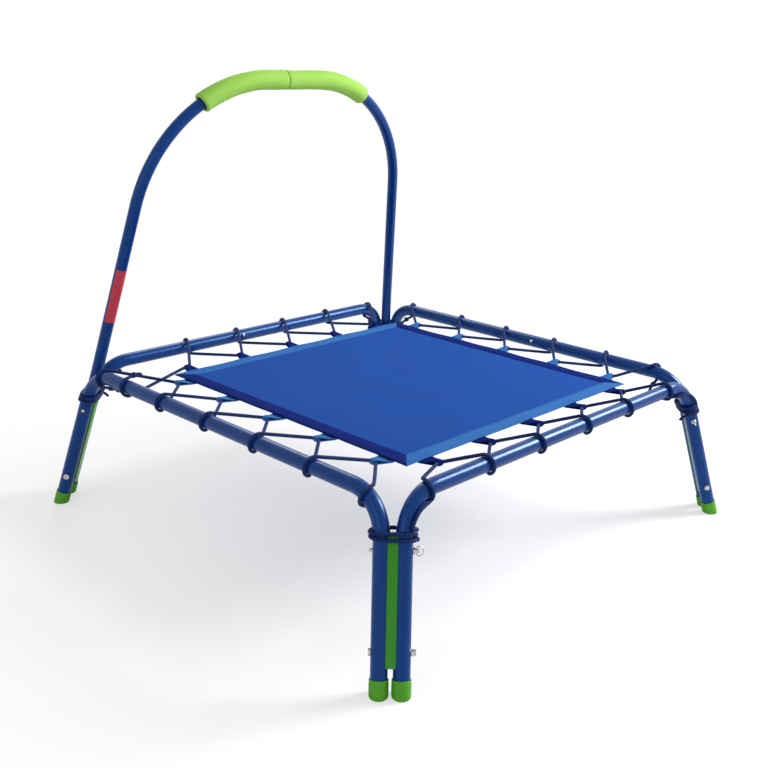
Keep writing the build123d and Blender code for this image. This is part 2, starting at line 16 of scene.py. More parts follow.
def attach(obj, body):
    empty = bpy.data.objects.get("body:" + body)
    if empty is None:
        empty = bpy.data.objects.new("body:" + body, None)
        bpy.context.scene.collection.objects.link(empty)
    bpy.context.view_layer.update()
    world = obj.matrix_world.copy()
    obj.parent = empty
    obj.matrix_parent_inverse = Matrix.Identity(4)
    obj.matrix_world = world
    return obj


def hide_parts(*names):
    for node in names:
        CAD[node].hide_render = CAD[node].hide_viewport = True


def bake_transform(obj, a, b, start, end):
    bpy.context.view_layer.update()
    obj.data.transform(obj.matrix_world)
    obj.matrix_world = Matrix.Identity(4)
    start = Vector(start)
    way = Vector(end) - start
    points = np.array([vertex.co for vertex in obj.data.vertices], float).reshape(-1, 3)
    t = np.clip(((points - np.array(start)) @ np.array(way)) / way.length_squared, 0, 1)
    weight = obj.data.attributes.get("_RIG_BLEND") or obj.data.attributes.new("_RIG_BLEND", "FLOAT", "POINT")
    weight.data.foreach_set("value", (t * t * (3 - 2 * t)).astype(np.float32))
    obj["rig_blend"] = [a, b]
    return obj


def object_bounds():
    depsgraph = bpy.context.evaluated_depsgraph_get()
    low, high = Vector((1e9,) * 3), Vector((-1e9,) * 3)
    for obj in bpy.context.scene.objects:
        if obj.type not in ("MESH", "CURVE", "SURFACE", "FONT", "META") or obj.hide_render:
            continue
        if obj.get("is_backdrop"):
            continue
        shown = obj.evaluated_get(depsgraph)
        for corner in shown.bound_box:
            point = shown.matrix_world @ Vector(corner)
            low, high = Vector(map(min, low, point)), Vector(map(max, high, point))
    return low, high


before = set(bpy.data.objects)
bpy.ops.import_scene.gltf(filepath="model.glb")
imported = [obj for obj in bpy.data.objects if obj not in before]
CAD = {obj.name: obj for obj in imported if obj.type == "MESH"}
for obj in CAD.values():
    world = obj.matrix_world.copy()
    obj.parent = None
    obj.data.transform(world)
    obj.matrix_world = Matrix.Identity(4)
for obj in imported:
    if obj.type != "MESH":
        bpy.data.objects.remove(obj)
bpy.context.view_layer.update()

# %% [markdown]
# ## The camera
# A low, wide object shows best from a little above mat height through a longish lens, so that the
# near corner doesn't balloon. The camera could be aimed by eye. Here it is placed by its bearing,
# its elevation and its distance from a point near the middle of the mat, because those numbers
# can be read and changed one at a time. It leans over by a degree and a half.

# %% Place the camera
BEARING, ELEVATION, LEAN = radians(-45.862), radians(17.986), radians(1.431)
CAMERA_DISTANCE = 1.9247
LENS, SENSOR = 47.77, 36.0     # millimetres, as on a real camera
AIM = Vector((-0.0487, -0.0343, 0.271))

away = Vector((sin(BEARING) * cos(ELEVATION), -cos(BEARING) * cos(ELEVATION), sin(ELEVATION)))
level = (-away).cross(Vector((0, 0, 1))).normalized()
upright = level.cross(-away)
across = level * cos(LEAN) + upright * sin(LEAN)
up = upright * cos(LEAN) - level * sin(LEAN)
lens = bpy.data.cameras.new("camera")
lens.lens, lens.sensor_width = LENS, SENSOR
camera = bpy.data.objects.new("camera", lens)
camera.matrix_world = Matrix.Translation(AIM + away * CAMERA_DISTANCE) @ \
    Matrix((across, up, away)).transposed().to_4x4()
bpy.context.scene.collection.objects.link(camera)
bpy.context.scene.camera = camera
print("camera at", [round(v, 3) for v in camera.matrix_world.translation])

# %% [markdown]
# ## Small tools for node trees
# Every finish below is a node tree. Writing each node by hand takes four lines, so one helper
# makes a node, sets it and wires it. A second one starts a shader node group with named sockets,
# for effects that several finishes share.

# %% Node helpers
def node(tree, kind, wires=None, **settings):
    """Make a node. wires gives each input a value or the socket that feeds it."""
    made = tree.nodes.new(kind)
    for key, value in settings.items():
        setattr(made, key, value)
    for place, value in (wires or {}).items():
        if isinstance(value, bpy.types.NodeSocket):
            tree.links.new(value, made.inputs[place])
        else:
            made.inputs[place].default_value = value
    return made


def math_node(tree, operation, first, second=0.5, third=0.5, clamp=False):
    made = node(tree, "ShaderNodeMath", {0: first, 1: second, 2: third},
                operation=operation, use_clamp=clamp)
    return made.outputs[0]


def new_group(name, inputs, outputs):
    """A shader node group. inputs is (name, socket type, value), outputs is (name, socket type)."""
    group = bpy.data.node_groups.new(name, "ShaderNodeTree")
    for label, kind, value in inputs:
        group.interface.new_socket(label, in_out="INPUT", socket_type=kind).default_value = value
    for label, kind in outputs:
        group.interface.new_socket(label, in_out="OUTPUT", socket_type=kind)
    return group, group.nodes.new("NodeGroupInput").outputs, group.nodes.new("NodeGroupOutput")


FLOAT, VECTOR, COLOUR = "NodeSocketFloat", "NodeSocketVector", "NodeSocketColor"
print("node helpers ready")

# %% [markdown]
# ## Shared effect: a plain weave
# The mat, the webbing and the cord's sheath are all woven, at different scales. A flat image of
# cloth could be tiled over them, but it would blur close up. Instead two sets of round ribs cross
# each other, and a checker of their phases says which one is on top. The group puts out the height
# of the cloth.

# %% Group: weave
weave, w_in, w_out = new_group(
    "weave", [("Place", VECTOR, (0, 0, 0)), ("Warp per metre", FLOAT, 800.0),
              ("Weft per metre", FLOAT, 800.0)],
    [("Height", FLOAT)])
split = node(weave, "ShaderNodeSeparateXYZ", {0: w_in["Place"]})
phase = []
for letter, count in (("X", "Warp per metre"), ("Y", "Weft per metre")):
    turns = math_node(weave, "MULTIPLY", split.outputs[letter], w_in[count])
    phase.append(math_node(weave, "MULTIPLY", turns, pi))
ribs = [math_node(weave, "ABSOLUTE", math_node(weave, "COSINE", p)) for p in phase]
checker = math_node(weave, "MULTIPLY", math_node(weave, "COSINE", phase[0]),
                    math_node(weave, "COSINE", phase[1]))
on_top = math_node(weave, "MULTIPLY_ADD", checker, 1.6, 0.5, clamp=True)
height = node(weave, "ShaderNodeMix", {"Factor": on_top, 2: ribs[1], 3: ribs[0]}, data_type="FLOAT")
weave.links.new(height.outputs[0], w_out.inputs["Height"])
print("group", weave.name, "nodes", len(weave.nodes))

# %% [markdown]
# ## Shared effect: uneven finish
# Nothing that has been made and handled is one even colour. A slow noise gives broad drifts in
# dye or lacquer, and a fast one gives specks and faint rubbing. The group puts out the tinted
# colour and a small offset for the roughness.

# %% Group: uneven finish
uneven, u_in, u_out = new_group(
    "uneven_finish", [("Place", VECTOR, (0, 0, 0)), ("Base", COLOUR, (0.5, 0.5, 0.5, 1)),
                      ("Worn", COLOUR, (0.6, 0.6, 0.6, 1)), ("Drift per metre", FLOAT, 9.0),
                      ("Specks per metre", FLOAT, 300.0), ("Amount", FLOAT, 0.3)],
    [("Colour", COLOUR), ("Roughness offset", FLOAT)])
drift = node(uneven, "ShaderNodeTexNoise", {"Vector": u_in["Place"], "Scale": u_in["Drift per metre"],
                                            "Detail": 3.0})
specks = node(uneven, "ShaderNodeTexNoise", {"Vector": u_in["Place"], "Detail": 2.0,
                                             "Scale": u_in["Specks per metre"]})
mixed = math_node(uneven, "MULTIPLY_ADD", specks.outputs["Fac"], 0.4, drift.outputs["Fac"])
spread = node(uneven, "ShaderNodeMapRange", {"Value": mixed, "From Min": 0.45, "From Max": 0.95,
                                             "To Min": 0.0, "To Max": 1.0})
share = math_node(uneven, "MULTIPLY", spread.outputs[0], u_in["Amount"], clamp=True)
tint = node(uneven, "ShaderNodeMix", {"Factor": share, 6: u_in["Base"], 7: u_in["Worn"]},
            data_type="RGBA")
uneven.links.new(tint.outputs[2], u_out.inputs["Colour"])
uneven.links.new(math_node(uneven, "MULTIPLY", share, 0.35), u_out.inputs["Roughness offset"])
print("group", uneven.name, "nodes", len(uneven.nodes))

# %% [markdown]
# ## Shared effect: fine skin
# Powder coat has a faint orange peel, moulded plastic has the grain of its mould and foam has
# pores. All three are a small height that changes over the surface, so one group serves: a fine
# noise for grain, plus round cells for pores where a finish asks for them.

# %% Group: fine skin
skin, s_in, s_out = new_group(
    "fine_skin", [("Place", VECTOR, (0, 0, 0)), ("Grains per metre", FLOAT, 600.0),
                  ("Pores per metre", FLOAT, 500.0), ("Pore share", FLOAT, 0.0)],
    [("Height", FLOAT)])
grain = node(skin, "ShaderNodeTexNoise", {"Vector": s_in["Place"], "Scale": s_in["Grains per metre"],
                                          "Detail": 3.0})
pores = node(skin, "ShaderNodeTexVoronoi", {"Vector": s_in["Place"],
                                            "Scale": s_in["Pores per metre"]})
pitted = node(skin, "ShaderNodeMix", {"Factor": s_in["Pore share"], 2: grain.outputs["Fac"],
                                      3: pores.outputs["Distance"]}, data_type="FLOAT")
skin.links.new(pitted.outputs[0], s_out.inputs["Height"])
print("group", skin.name, "nodes", len(skin.nodes))

# %% [markdown]
# ## One way to start every finish
# Each finish is a Principled surface whose constants are set on its own sockets. The helper makes
# it, adds the uneven tint and hands back the tree, so that each finish's cell only says what is
# special about it.

# %% Helper: start a finish
def finish(name, base, worn, roughness, amount=0.3, drift=9.0, specks=300.0, **constants):
    """Make a material. Returns it, its tree, its surface node and the place socket."""
    material = bpy.data.materials.new(name)
    material.use_nodes = True
    tree = material.node_tree
    surface = tree.nodes["Principled BSDF"]
    place = node(tree, "ShaderNodeTexCoord").outputs["Object"]
    tinted = node(tree, "ShaderNodeGroup", node_tree=uneven)
    tree.links.new(place, tinted.inputs["Place"])
    for label, value in (("Base", (*base, 1)), ("Worn", (*worn, 1)), ("Drift per metre", drift),
                         ("Specks per metre", specks), ("Amount", amount)):
        tinted.inputs[label].default_value = value
    tree.links.new(tinted.outputs["Colour"], surface.inputs["Base Color"])
    rough = math_node(tree, "ADD", tinted.outputs["Roughness offset"], roughness, clamp=True)
    tree.links.new(rough, surface.inputs["Roughness"])
    for label, value in constants.items():
        surface.inputs[label.replace("_", " ")].default_value = value
    return material, tree, surface, place


def add_relief(tree, surface, heights, distance, strength=1.0):
    """Feed a height to the surface's normal. Distance is the real height of the relief."""
    bump = node(tree, "ShaderNodeBump", {"Height": heights, "Distance": distance,
                                         "Strength": strength})
    tree.links.new(bump.outputs[0], surface.inputs["Normal"])


def skin_height(tree, place, grains, pores=500.0, pore_share=0.0):
    made = node(tree, "ShaderNodeGroup", node_tree=skin)
    tree.links.new(place, made.inputs["Place"])
    for label, value in (("Grains per metre", grains), ("Pores per metre", pores),
                         ("Pore share", pore_share)):
        made.inputs[label].default_value = value
    return made.outputs["Height"]


def weave_height(tree, place, warp, weft):
    made = node(tree, "ShaderNodeGroup", node_tree=weave)
    tree.links.new(place, made.inputs["Place"])
    made.inputs["Warp per metre"].default_value = warp
    made.inputs["Weft per metre"].default_value = weft
    return made.outputs["Height"]


print("finish helper ready")

# %% [markdown]
# ## Finish: glossy blue tube
# The frame and the handle are steel tube with a glossy royal blue coat. Sprayed powder melts into
# a skin that is smooth but never flat, so its highlights waver slightly. White shine all over
# would make the blue look dusty, so the shine is held back and tinted blue, and only a thin clear
# coat adds white glints.

# %% Blue tube
tube_blue, tree, surface, place = finish(
    "tube_blue", (0.0016, 0.025, 0.160), (0.0032, 0.038, 0.215), 0.23, amount=0.35, drift=6.0,
    Specular_IOR_Level=0.34, Specular_Tint=(0.30, 0.72, 1.0, 1), Coat_Weight=0.05,
    Coat_Roughness=0.12)
add_relief(tree, surface, skin_height(tree, place, 420.0), 0.00006, 0.6)
print("finish", tube_blue.name)

# %% [markdown]
# ## Finishes: moulded plastic and foam
# The foot caps are soft lime plastic, the spacers between the legs are a harder, shinier green
# one, and the grips are lime foam with a fine closed skin. They share the grain and pore group
# with different numbers.

# %% Plastics and foam
cap_lime, tree, surface, place = finish(
    "cap_lime", (0.068, 0.310, 0.011), (0.095, 0.370, 0.025), 0.45, amount=0.4, drift=30.0,
    Specular_IOR_Level=0.25)
add_relief(tree, surface, skin_height(tree, place, 900.0), 0.00010, 0.7)

spacer_green, tree, surface, place = finish(
    "spacer_green", (0.024, 0.225, 0.008), (0.040, 0.280, 0.018), 0.30, amount=0.3, drift=14.0,
    Specular_IOR_Level=0.25)
add_relief(tree, surface, skin_height(tree, place, 500.0), 0.00008, 0.5)

foam_lime, tree, surface, place = finish(
    "foam_lime", (0.262, 0.510, 0.066), (0.310, 0.550, 0.105), 0.62, amount=0.55, drift=22.0,
    specks=700.0, Specular_IOR_Level=0.2)
add_relief(tree, surface, skin_height(tree, place, 260.0, 620.0, 0.35), 0.00045, 0.8)
print("finishes", cap_lime.name, spacer_green.name, foam_lime.name)

# %% [markdown]
# ## Finishes: bright metal and the red band
# Pins, rings, bolts and nuts are plated steel: a mirror with a soft haze. The hidden springs and
# the sleeve inside the handle are plain steel. The band on one handle leg is a smooth plain film.

# %% Metals and film
hardware, tree, surface, place = finish(
    "bright_plate", (0.50, 0.49, 0.50), (0.36, 0.34, 0.34), 0.17, amount=0.4, drift=60.0,
    Metallic=1.0)
add_relief(tree, surface, skin_height(tree, place, 1500.0), 0.00002, 0.4)
plain_steel, tree, surface, place = finish(
    "plain_steel", (0.42, 0.43, 0.45), (0.30, 0.29, 0.28), 0.35, amount=0.6, drift=40.0,
    Metallic=1.0)
add_relief(tree, surface, skin_height(tree, place, 900.0), 0.00004, 0.5)
band_red, tree, surface, place = finish(
    "band_red", (0.450, 0.026, 0.045), (0.520, 0.060, 0.080), 0.32, amount=0.4, drift=25.0,
    Specular_IOR_Level=0.3)
add_relief(tree, surface, skin_height(tree, place, 300.0), 0.00005, 0.5)
print("finishes", hardware.name, plain_steel.name, band_red.name)

# %% [markdown]
# ## Finishes: woven mat, webbing and cord
# The mat is a plain weave of flat plastic yarn, dense enough to look solid. Webbing is narrower
# and heavier, with finer ribs. Both could have a relief alone, but the same height also paints
# shade into the colour, darker in the hollows between threads.

# %% Woven finishes
def woven(name, base, worn, warp, weft, depth, roughness=0.62, amount=0.35, drift=11.0, **more):
    """A cloth finish: the weave paints shade into the hollows between its threads and gives the relief."""
    material, tree, surface, place = finish(name, base, worn, roughness, amount, drift, **more)
    threads = weave_height(tree, place, warp, weft)
    tinted = surface.inputs["Base Color"].links[0].from_socket
    # Painted shade: the colour is darkened where the weave is low, in the hollows between threads.
    shade = node(tree, "ShaderNodeMapRange", {"Value": threads, "From Min": 0.0, "From Max": 0.9,
                                              "To Min": 0.55, "To Max": 1.06})
    darker = node(tree, "ShaderNodeVectorMath", {0: tinted, "Scale": shade.outputs[0]},
                  operation="SCALE")
    tree.links.new(darker.outputs[0], surface.inputs["Base Color"])
    add_relief(tree, surface, threads, depth)
    return material


mat_mesh = woven("mat_mesh", (0.013, 0.068, 0.318), (0.021, 0.086, 0.375), 300.0, 240.0, 0.00060,
                 0.60, amount=0.6, drift=14.0, specks=120.0, Specular_IOR_Level=0.02)
# One webbing, with its sheen painted in as two copies: navy is painted shade, for the webbing whose weave
# turns from the light, and azure is painted lit sheen, for the webbing whose weave catches it.
webbing_navy = woven("webbing_navy", (0.002, 0.013, 0.150), (0.004, 0.022, 0.195), 900.0, 640.0,
                     0.00040, Specular_IOR_Level=0.03)
webbing_azure = woven("webbing_azure", (0.036, 0.155, 0.450), (0.052, 0.195, 0.510), 900.0, 640.0,
                      0.00040, Specular_IOR_Level=0.03)
WEBBING_SHEENS = {"navy": webbing_navy, "azure": webbing_azure}
print("finishes", mat_mesh.name, webbing_navy.name, webbing_azure.name)

# %% [markdown]
# ## Finishes: braided cord and thread
# The cord's sheath is a braid, which is a weave wound round a core at a slant. Its place can't be
# the plain place in space, because the braid turns with the cord. It comes from how far along and
# how far round the cord a point is, which the cord's mesh carries. Thread is too thin for relief.

# %% The cord's braid, and sewing thread
cord_navy, tree, surface, place = finish(
    "cord_navy", (0.005, 0.020, 0.105), (0.010, 0.036, 0.160), 0.45, amount=0.5, drift=60.0,
    Specular_IOR_Level=0.12)
along_round = node(tree, "ShaderNodeAttribute", attribute_name="along_round")
parts = node(tree, "ShaderNodeSeparateXYZ", {0: along_round.outputs["Vector"]})
slant = node(tree, "ShaderNodeCombineXYZ", {
    "X": math_node(tree, "ADD", parts.outputs["X"], parts.outputs["Y"]),
    "Y": math_node(tree, "SUBTRACT", parts.outputs["X"], parts.outputs["Y"])})
add_relief(tree, surface, weave_height(tree, slant.outputs[0], 16.0, 16.0), 0.00035)
thread_pale = finish("thread_pale", (0.010, 0.035, 0.24), (0.016, 0.05, 0.30), 0.6,
                     Specular_IOR_Level=0.1)[0]
thread_dark = finish("thread_dark", (0.015, 0.080, 0.330), (0.024, 0.11, 0.39), 0.6,
                     Specular_IOR_Level=0.1)[0]
print("finishes", cord_navy.name, thread_pale.name, thread_dark.name)

# %% [markdown]
# ## The CAD pieces that keep their own shape
# Tubes, pins, bolts and springs were drawn at their true size in CAD, so they stay as they are
# and only take a finish. Their edges are already right and a copy could only be worse.

# %% Finish the CAD pieces
kept = {"_rail_": tube_blue, "handle_left_half": tube_blue, "handle_right_half": tube_blue,
        "ring_pin_": hardware, "pin_ring_": hardware, "lower_": hardware,
        "spring_button_": hardware, "button_spring_": plain_steel,
        "handle_inner_sleeve": plain_steel, "handle_band": band_red}
for name, piece in CAD.items():
    for part_of_name, material in kept.items():
        if part_of_name in name:
            piece.data.materials.clear()
            piece.data.materials.append(material)
print("finished", sum(any(k in n for k in kept) for n in CAD), "CAD pieces")

# %% [markdown]
# ## Sizes repeated from the CAD source
# The soft parts have to meet the steel exactly, so the few sizes they depend on are repeated
# here. The mat hangs in the frame a little off its middle, as a hand laced mat does.

# %% Sizes
HALF = 0.416                # from the middle of the frame to a rail's axis
RAIL_Z = 0.271
LEAN_OUT = 58.4 / 271.0     # how far a foot stands out per metre of height
BEND = 0.072                # centreline bend between a rail and its leg
TUBE_R = 0.0127
HANDLE_R = 0.0111
CORD_R = 0.0030
WRAP = TUBE_R + CORD_R + 0.0003
PAIR = {False: 0.0323, True: 0.0482}    # leg to leg, plain corner and handle corner

MAT_SIDE = 0.618
MAT_SHIFT = Vector((0.014, -0.017, 0))
MAT_Z = RAIL_Z - 0.008
TAB_PITCH = 0.131
TAB_REACH = 0.026
CORNERS = {"front_left": (-1, -1), "front_right": (1, -1), "back_left": (-1, 1),
           "back_right": (1, 1)}
Z = Vector((0, 0, 1))
print("rail", 2 * HALF, "m axis to axis, mat", MAT_SIDE, "m")

# %% [markdown]
# ## Where the legs and rails run
# Each corner has two legs side by side that lean out both ways. Each rail is straight and then
# bends down into its leg. Two small functions give a point on a leg pair and, for any place along
# a rail, its axis with the directions towards the mat and upwards, through the bend as well.

# %% Corner and rail places
class Corner:
    """Two leaning legs side by side. The leg at -spacing / 2 belongs to the left or right rail."""

    def __init__(self, name):
        self.x, self.y = CORNERS[name]
        self.spacing = PAIR[self.y > 0]
        self.down = Vector((self.x * LEAN_OUT, self.y * LEAN_OUT, -1)).normalized()
        self.across = Vector((-self.x, self.y, 0)).normalized()
        self.out = Vector((self.x, self.y, 2 * LEAN_OUT)).normalized()

    def middle(self, drop):
        reach = HALF - self.spacing / sqrt(8) + LEAN_OUT * drop
        return Vector((self.x * reach, self.y * reach, RAIL_Z - drop))

    def leg(self, along_y, drop):
        return self.middle(drop) + self.across * ((-1 if along_y else 1) * self.spacing / 2)


class Side:
    """One rail and what is laced to it."""

    def __init__(self, name, low, high, along, inward):
        self.name, self.low, self.high = name, Corner(low), Corner(high)
        self.along, self.inward = Vector(along), Vector(inward)
        self.middle = self.inward * -HALF + Z * RAIL_Z
        self.mat_along = MAT_SHIFT.dot(self.along)
        self.mat_edge = HALF + MAT_SHIFT.dot(self.inward) - MAT_SIDE / 2
        self.tabs = [self.mat_along + k * TAB_PITCH for k in range(-2, 3)]
        # The webbing's sheen is painted: a hem along y is navy as painted shade and one along x azure as
        # painted lit sheen, and its tabs, which run across it, get the other.
        sheens = ("navy", "azure")
        self.hem_colour, self.tab_sheen = sheens if self.along.y else sheens[::-1]

    def at(self, along, inward=0.0, height=0.0):
        return self.middle + self.along * along + self.inward * inward + Z * height

    def tube(self, along):
        """Axis point, direction towards the mat and upper direction, also round the bend."""
        sign = 1 if along > 0 else -1
        corner = self.high if sign > 0 else self.low
        straight = (corner.leg(bool(self.along.y), 0) - self.middle).length - BEND * tan(
            (pi / 2 - atan(LEAN_OUT / sqrt(1 + LEAN_OUT**2))) / 2)
        angle = (abs(along) - straight) / BEND
        if angle <= 0:
            return self.at(along), self.inward, Z
        start = self.along * sign
        inner = (corner.down - start * corner.down.dot(start)).normalized()
        upper = start * sin(angle) - inner * cos(angle)
        mat_side = (start * cos(angle) + inner * sin(angle)).cross(upper)
        mat_side *= 1 if mat_side.dot(self.inward) > 0 else -1
        return self.at(sign * straight) + inner * BEND + upper * BEND, mat_side, upper


SIDES = [Side("left", "front_left", "back_left", (0, 1, 0), (1, 0, 0)),
         Side("front", "front_left", "front_right", (1, 0, 0), (0, 1, 0)),
         Side("right", "front_right", "back_right", (0, 1, 0), (-1, 0, 0)),
         Side("back", "back_left", "back_right", (1, 0, 0), (0, -1, 0))]
for side in SIDES:
    print(side.name, "tabs at", [round(t, 3) for t in side.tabs])

# %% [markdown]
# ## Mesh helpers
# Most soft pieces here are a flat grid of points that is bent into shape, or rings of points that
# follow one another. Modifiers could thicken and join them, but plain lists of points and faces
# show what is made. One helper turns them into a piece that rides on its CAD body, and the others
# list the faces of a sheet and of a wall of rings and join several shapes into one.

# %% Helper: make a piece
def make_piece(name, points, faces, material, body, replaces=()):
    mesh = bpy.data.meshes.new(name)
    mesh.from_pydata([tuple(p) for p in points], [], faces)
    mesh.validate()
    mesh.polygons.foreach_set("use_smooth", [True] * len(mesh.polygons))
    mesh.materials.append(material)
    piece = bpy.data.objects.new(name, mesh)
    bpy.context.scene.collection.objects.link(piece)
    if body:
        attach(piece, body)
    if replaces:
        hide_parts(*replaces)
    return piece


def outward_faces(piece):
    """Turn every face of a closed piece to face out."""
    shape = bmesh.new()
    shape.from_mesh(piece.data)
    bmesh.ops.recalc_face_normals(shape, faces=shape.faces)
    shape.to_mesh(piece.data)
    shape.free()
    return piece


# %% Helper: faces of sheets and rings, and joining
def sheet_faces(rows, columns):
    """Faces of a closed sheet, whose upper and lower layers are grids of points."""
    layer, faces = rows * columns, []
    for j in range(rows - 1):
        for i in range(columns - 1):
            a = j * columns + i
            faces += [(a, a + 1, a + columns + 1, a + columns),
                      (layer + a, layer + a + columns, layer + a + columns + 1, layer + a + 1)]
    rim = list(range(columns)) + [j * columns + columns - 1 for j in range(1, rows)] + \
        [(rows - 1) * columns + i for i in range(columns - 2, -1, -1)] + \
        [j * columns for j in range(rows - 2, 0, -1)]
    return faces + [(b, a, a + layer, b + layer) for a, b in zip(rim, rim[1:] + rim[:1])]


def wall_faces(rings, around, closed=False):
    """Faces between neighbouring rings of points, and from the last to the first if closed."""
    return [(k * around + s, k * around + (s + 1) % around,
             (k + 1) % rings * around + (s + 1) % around, (k + 1) % rings * around + s)
            for k in range(rings if closed else rings - 1) for s in range(around)]


def join_shapes(shapes):
    """Several shapes as one. Each is points and faces, and may have braid places as well."""
    points, faces, places = [], [], []
    for more_points, more_faces, *more_places in shapes:
        faces += [[i + len(points) for i in f] for f in more_faces]
        points += more_points
        places += more_places[0] if more_places else []
    return points, faces, places


print("a sheet of 3 by 3 points has", len(sheet_faces(3, 3)), "faces")

# %% [markdown]
# ## A round section along a line
# Cord is a round section that follows a line. Blender's curve bevel would make it, but it leaves
# the ends open and gives no place along and round the cord for the braid. This helper carries the
# section itself, turns it as little as it can from point to point, and rounds both ends.

# %% Helper: carry a round section along a line
BRAID_LAP = 0.0188          # one turn of braid, about the way round the cord


def round_bar(line, radii, sides=12):
    """Points, faces and braid places of a bar with rounded ends along a line."""
    line = [Vector(p) for p in line]
    radii = list(np.broadcast_to(radii, len(line)))
    for end, step in ((0, 1), (-1, -1)):
        tip, inside = line[end], line[end + step]
        ahead, size = (tip - inside).normalized(), radii[end]
        for turn in (0.35, 0.8, 1.25):
            place = 0 if end == 0 else len(line)
            line.insert(place, tip + ahead * size * sin(turn))
            radii.insert(place, size * cos(turn))
    ahead = [(b - a).normalized() for a, b in zip(line, line[1:])]
    ahead = [ahead[0]] + [(a + b).normalized() for a, b in zip(ahead, ahead[1:])] + [ahead[-1]]
    side = ahead[0].orthogonal().normalized()
    points, travelled, length = [], [0.0], 0.0
    for k, (centre, heading, radius) in enumerate(zip(line, ahead, radii)):
        side = (side - heading * side.dot(heading)).normalized()
        other = heading.cross(side)
        points += [centre + (side * cos(2 * pi * s / sides) + other * sin(2 * pi * s / sides))
                   * radius for s in range(sides)]
        if k:
            length += (centre - line[k - 1]).length
            travelled.append(length)
    faces, places = wall_faces(len(line), sides), []
    laps = [t / BRAID_LAP for t in travelled]
    for u, v in zip(laps, laps[1:]):
        for s in range(sides):
            places += [(u, s / sides, 0), (u, (s + 1) / sides, 0), (v, (s + 1) / sides, 0),
                       (v, s / sides, 0)]
    for ring, turn in ((0, -1), (len(line) - 1, 1)):
        faces.append([ring * sides + s for s in range(sides)][::turn])
        places += [(laps[ring], s / sides, 0) for s in range(sides)][::turn]
    return points, faces, places


def place_braid(mesh, places):
    """Store how far along and how far round the cord each face corner is."""
    held = mesh.attributes.new("along_round", "FLOAT_VECTOR", "CORNER")
    held.data.foreach_set("vector", np.array(places, np.float32).ravel())


print("a short bar has", len(round_bar([(0, 0, 0), (0, 0, 0.01)], CORD_R)[1]), "faces")

# %% [markdown]
# ## The woven mat
# The mat is one sheet of plastic weave, held flat by twenty tabs. It could be a plain rectangle,
# but a laced mat is never quite plane: it dips a little in the middle, and soft ridges run in
# from each tab. A fine grid with those two heights added shows both when light grazes it.

# %% Mat sheet
BED = MAT_SIDE - 0.004      # the hems reach 2 mm past the sheet all round
BED_CELLS = 120
MAT_THICKNESS = 0.0012


def mat_height(x, y):
    """Height of the mat at a place measured from its own middle."""
    dip = -0.0016 * cos(pi * x / MAT_SIDE) * cos(pi * y / MAT_SIDE)
    ridges = 0.0
    for a, b in ((x, y), (y, x)):
        to_edge = MAT_SIDE / 2 - abs(b)
        ridges += 0.00045 * cos(2 * pi * a / TAB_PITCH) * np.exp(-to_edge / 0.045)
    return dip + ridges


grid = []
for level_z in (0.5, -0.5):
    for j in range(BED_CELLS + 1):
        for i in range(BED_CELLS + 1):
            x, y = (i / BED_CELLS - 0.5) * BED, (j / BED_CELLS - 0.5) * BED
            grid.append(Vector((x + MAT_SHIFT.x, y + MAT_SHIFT.y,
                                MAT_Z + mat_height(x, y) + level_z * MAT_THICKNESS)))
mat_sheet = outward_faces(make_piece(
    "mat_sheet", grid, sheet_faces(BED_CELLS + 1, BED_CELLS + 1), mat_mesh, "mat", ["mat_bed"]))
print("mat sheet", len(mat_sheet.data.polygons), "faces")

# %% [markdown]
# ## The hems
# A wide webbing is folded over each edge of the mat and mitred where two meet. It is one webbing all
# round, with its sheen painted into its colour: the hems along y are painted navy as shaded sheen and
# those along x azure as lit sheen. The hem is a flat closed bar whose long edges are rounded; each
# corner end is cut at 45 degrees by letting every line of its section end at its own length. Between
# two tabs the cord pulls less, so the outer edge draws in by about a millimetre.

# %% Hems
HEM_WIDTH, HEM_THICKNESS = 0.030, 0.0034
HEM_STEPS = 160


def hem_section():
    """Depth from the hem's outer edge and height, round its section."""
    half, soft = HEM_THICKNESS / 2, 0.0012
    outline = []
    for centre, start in ((half, 90), (HEM_WIDTH - soft, -90)):
        for k in range(5):
            turn = radians(start + 45 * k)
            size = half if centre == half else soft
            flat = 0 if centre == half else (half - soft) * (1 if sin(turn) > 0 else -1)
            outline.append((centre + size * cos(turn), size * sin(turn) + flat))
    return outline


def pull_in(place):
    """How far the hem's edge draws in between tabs, at a place along the mat."""
    return 0.0009 * (1 - cos(2 * pi * place / TAB_PITCH)) * 0.5


def on_hem(side, place, depth, rise):
    """A point of a hem, from its place along, its depth from the outer edge and its height."""
    inset = depth + pull_in(place) * (1 - depth / HEM_WIDTH)
    return side.at(side.mat_along + place, side.mat_edge + inset,
                   MAT_Z - RAIL_Z + rise + mat_height(place, MAT_SIDE / 2 - depth))


hems, section = [], hem_section()
count = len(section)
for side in SIDES:
    points = [on_hem(side, (2 * step / HEM_STEPS - 1) * (MAT_SIDE / 2 - depth), depth, rise)
              for step in range(HEM_STEPS + 1) for depth, rise in section]
    faces = wall_faces(HEM_STEPS + 1, count)
    faces += [list(range(count)), [HEM_STEPS * count + k for k in range(count)]]
    hem = make_piece(f"hem_webbing_{side.name}", points, faces, WEBBING_SHEENS[side.hem_colour], "mat",
                     [f"hem_{side.name}"])
    hems.append(outward_faces(hem))
print("hems", [h.name for h in hems])

# %% [markdown]
# ## The tabs
# Each tab is a piece of the same webbing, sewn under the hem, brought to a point and folded round
# the cord. A tab runs across its hem, so it is painted with the other sheen: navy as painted shade
# on the azure hems, azure as painted lit sheen on the navy ones. It could be a flat triangle, but
# gathered webbing has pleats that run from its wide foot to its narrow fold. The strip is a grid that
# goes from under the hem out, round the cord and back, and it gets its pleats from a wave across it.

# %% Tabs
TAB_BASE, TAB_TIP, TAB_HOLD, WEBBING = 0.032, 0.0095, 0.017, 0.0013
FOLD_R = CORD_R + 0.0006
TAB_ACROSS = 20


